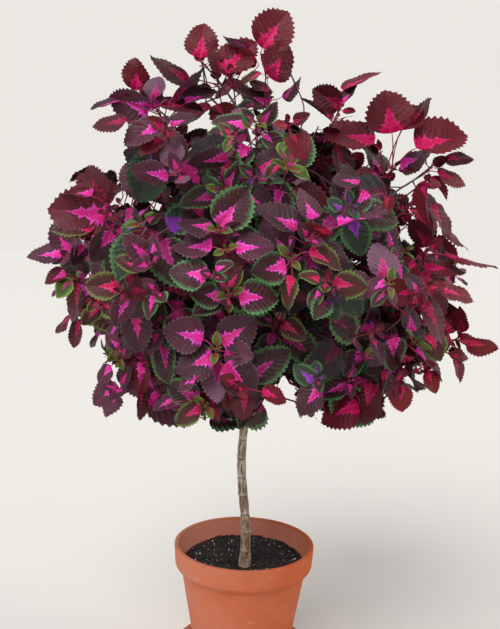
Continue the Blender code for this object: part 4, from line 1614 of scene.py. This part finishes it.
def make_camera():
    """The camera that sees the plant as the photograph does."""
    data = bpy.data.cameras.new("camera")
    data.sensor_width = SENSOR_MM
    data.lens = FOCAL_PIXELS * SENSOR_MM / PHOTO_HEIGHT
    data.clip_start = 0.05
    camera = bpy.data.objects.new("camera", data)
    camera.matrix_world = Matrix.Translation(CAMERA_PLACE) @ CAMERA_TURN.to_4x4()
    bpy.context.scene.collection.objects.link(camera)
    bpy.context.scene.camera = camera


def make_floor():
    """A plain pale floor."""
    data = bpy.data.meshes.new("floor")
    mesh = bmesh.new()
    bmesh.ops.create_circle(mesh, cap_ends=True, segments=96, radius=40.0)
    mesh.transform(Matrix.Translation((0.0, 0.0, -0.0005)))
    mesh.to_mesh(data)
    mesh.free()
    made, nodes, links, shader = shader_of("floor_pale", (226, 223, 218), 0.75)
    shade = noise_node(nodes, links, 3.0, 2.0)
    links.new(ranged(nodes, links, shade.outputs["Fac"], 0.70, 0.80), shader.inputs["Roughness"])
    data.materials.append(made)
    floor = bpy.data.objects.new("floor", data)
    bpy.context.scene.collection.objects.link(floor)


def add_sun(name, away, strength, spread, colour):
    """A soft distant light that shines from a direction, its spread in degrees."""
    data = bpy.data.lights.new(name, "SUN")
    data.angle = math.radians(spread)
    data.energy = strength
    data.color = colour
    light = bpy.data.objects.new(name, data)
    light.matrix_world = Vector(away).to_track_quat("Z", "Y").to_matrix().to_4x4()
    bpy.context.scene.collection.objects.link(light)


def make_light():
    """Soft studio light from the front left, a sunnier side on the right, and a pale surround."""
    world = bpy.data.worlds.new("surround")
    world.use_nodes = True
    nodes, links = world.node_tree.nodes, world.node_tree.links
    lighting = nodes["Background"]
    lighting.inputs["Color"].default_value = (0.90, 0.92, 0.95, 1.0)
    lighting.inputs["Strength"].default_value = 0.52
    backdrop = nodes.new("ShaderNodeBackground")
    backdrop.inputs["Color"].default_value = (0.832, 0.807, 0.764, 1.0)
    rays = nodes.new("ShaderNodeLightPath")
    either = nodes.new("ShaderNodeMixShader")
    links.new(rays.outputs["Is Camera Ray"], either.inputs[0])
    links.new(lighting.outputs[0], either.inputs[1])
    links.new(backdrop.outputs[0], either.inputs[2])
    links.new(either.outputs[0], nodes["World Output"].inputs["Surface"])
    bpy.context.scene.world = world
    add_sun("key", (-0.9, -1.5, 2.0), 2.25, 48.0, (1.0, 0.98, 0.97))
    add_sun("window_side", (1.8, 0.3, 1.3), 0.9, 30.0, (1.0, 0.92, 0.80))
    bpy.context.scene.view_settings.view_transform = "Standard"


make_camera()
make_floor()
make_light()
SHOOTS, SKELETON = grow_crown()
make_leaves(SHOOTS)
make_twigs(SKELETON)
make_bark()
make_pottery()
make_soil()
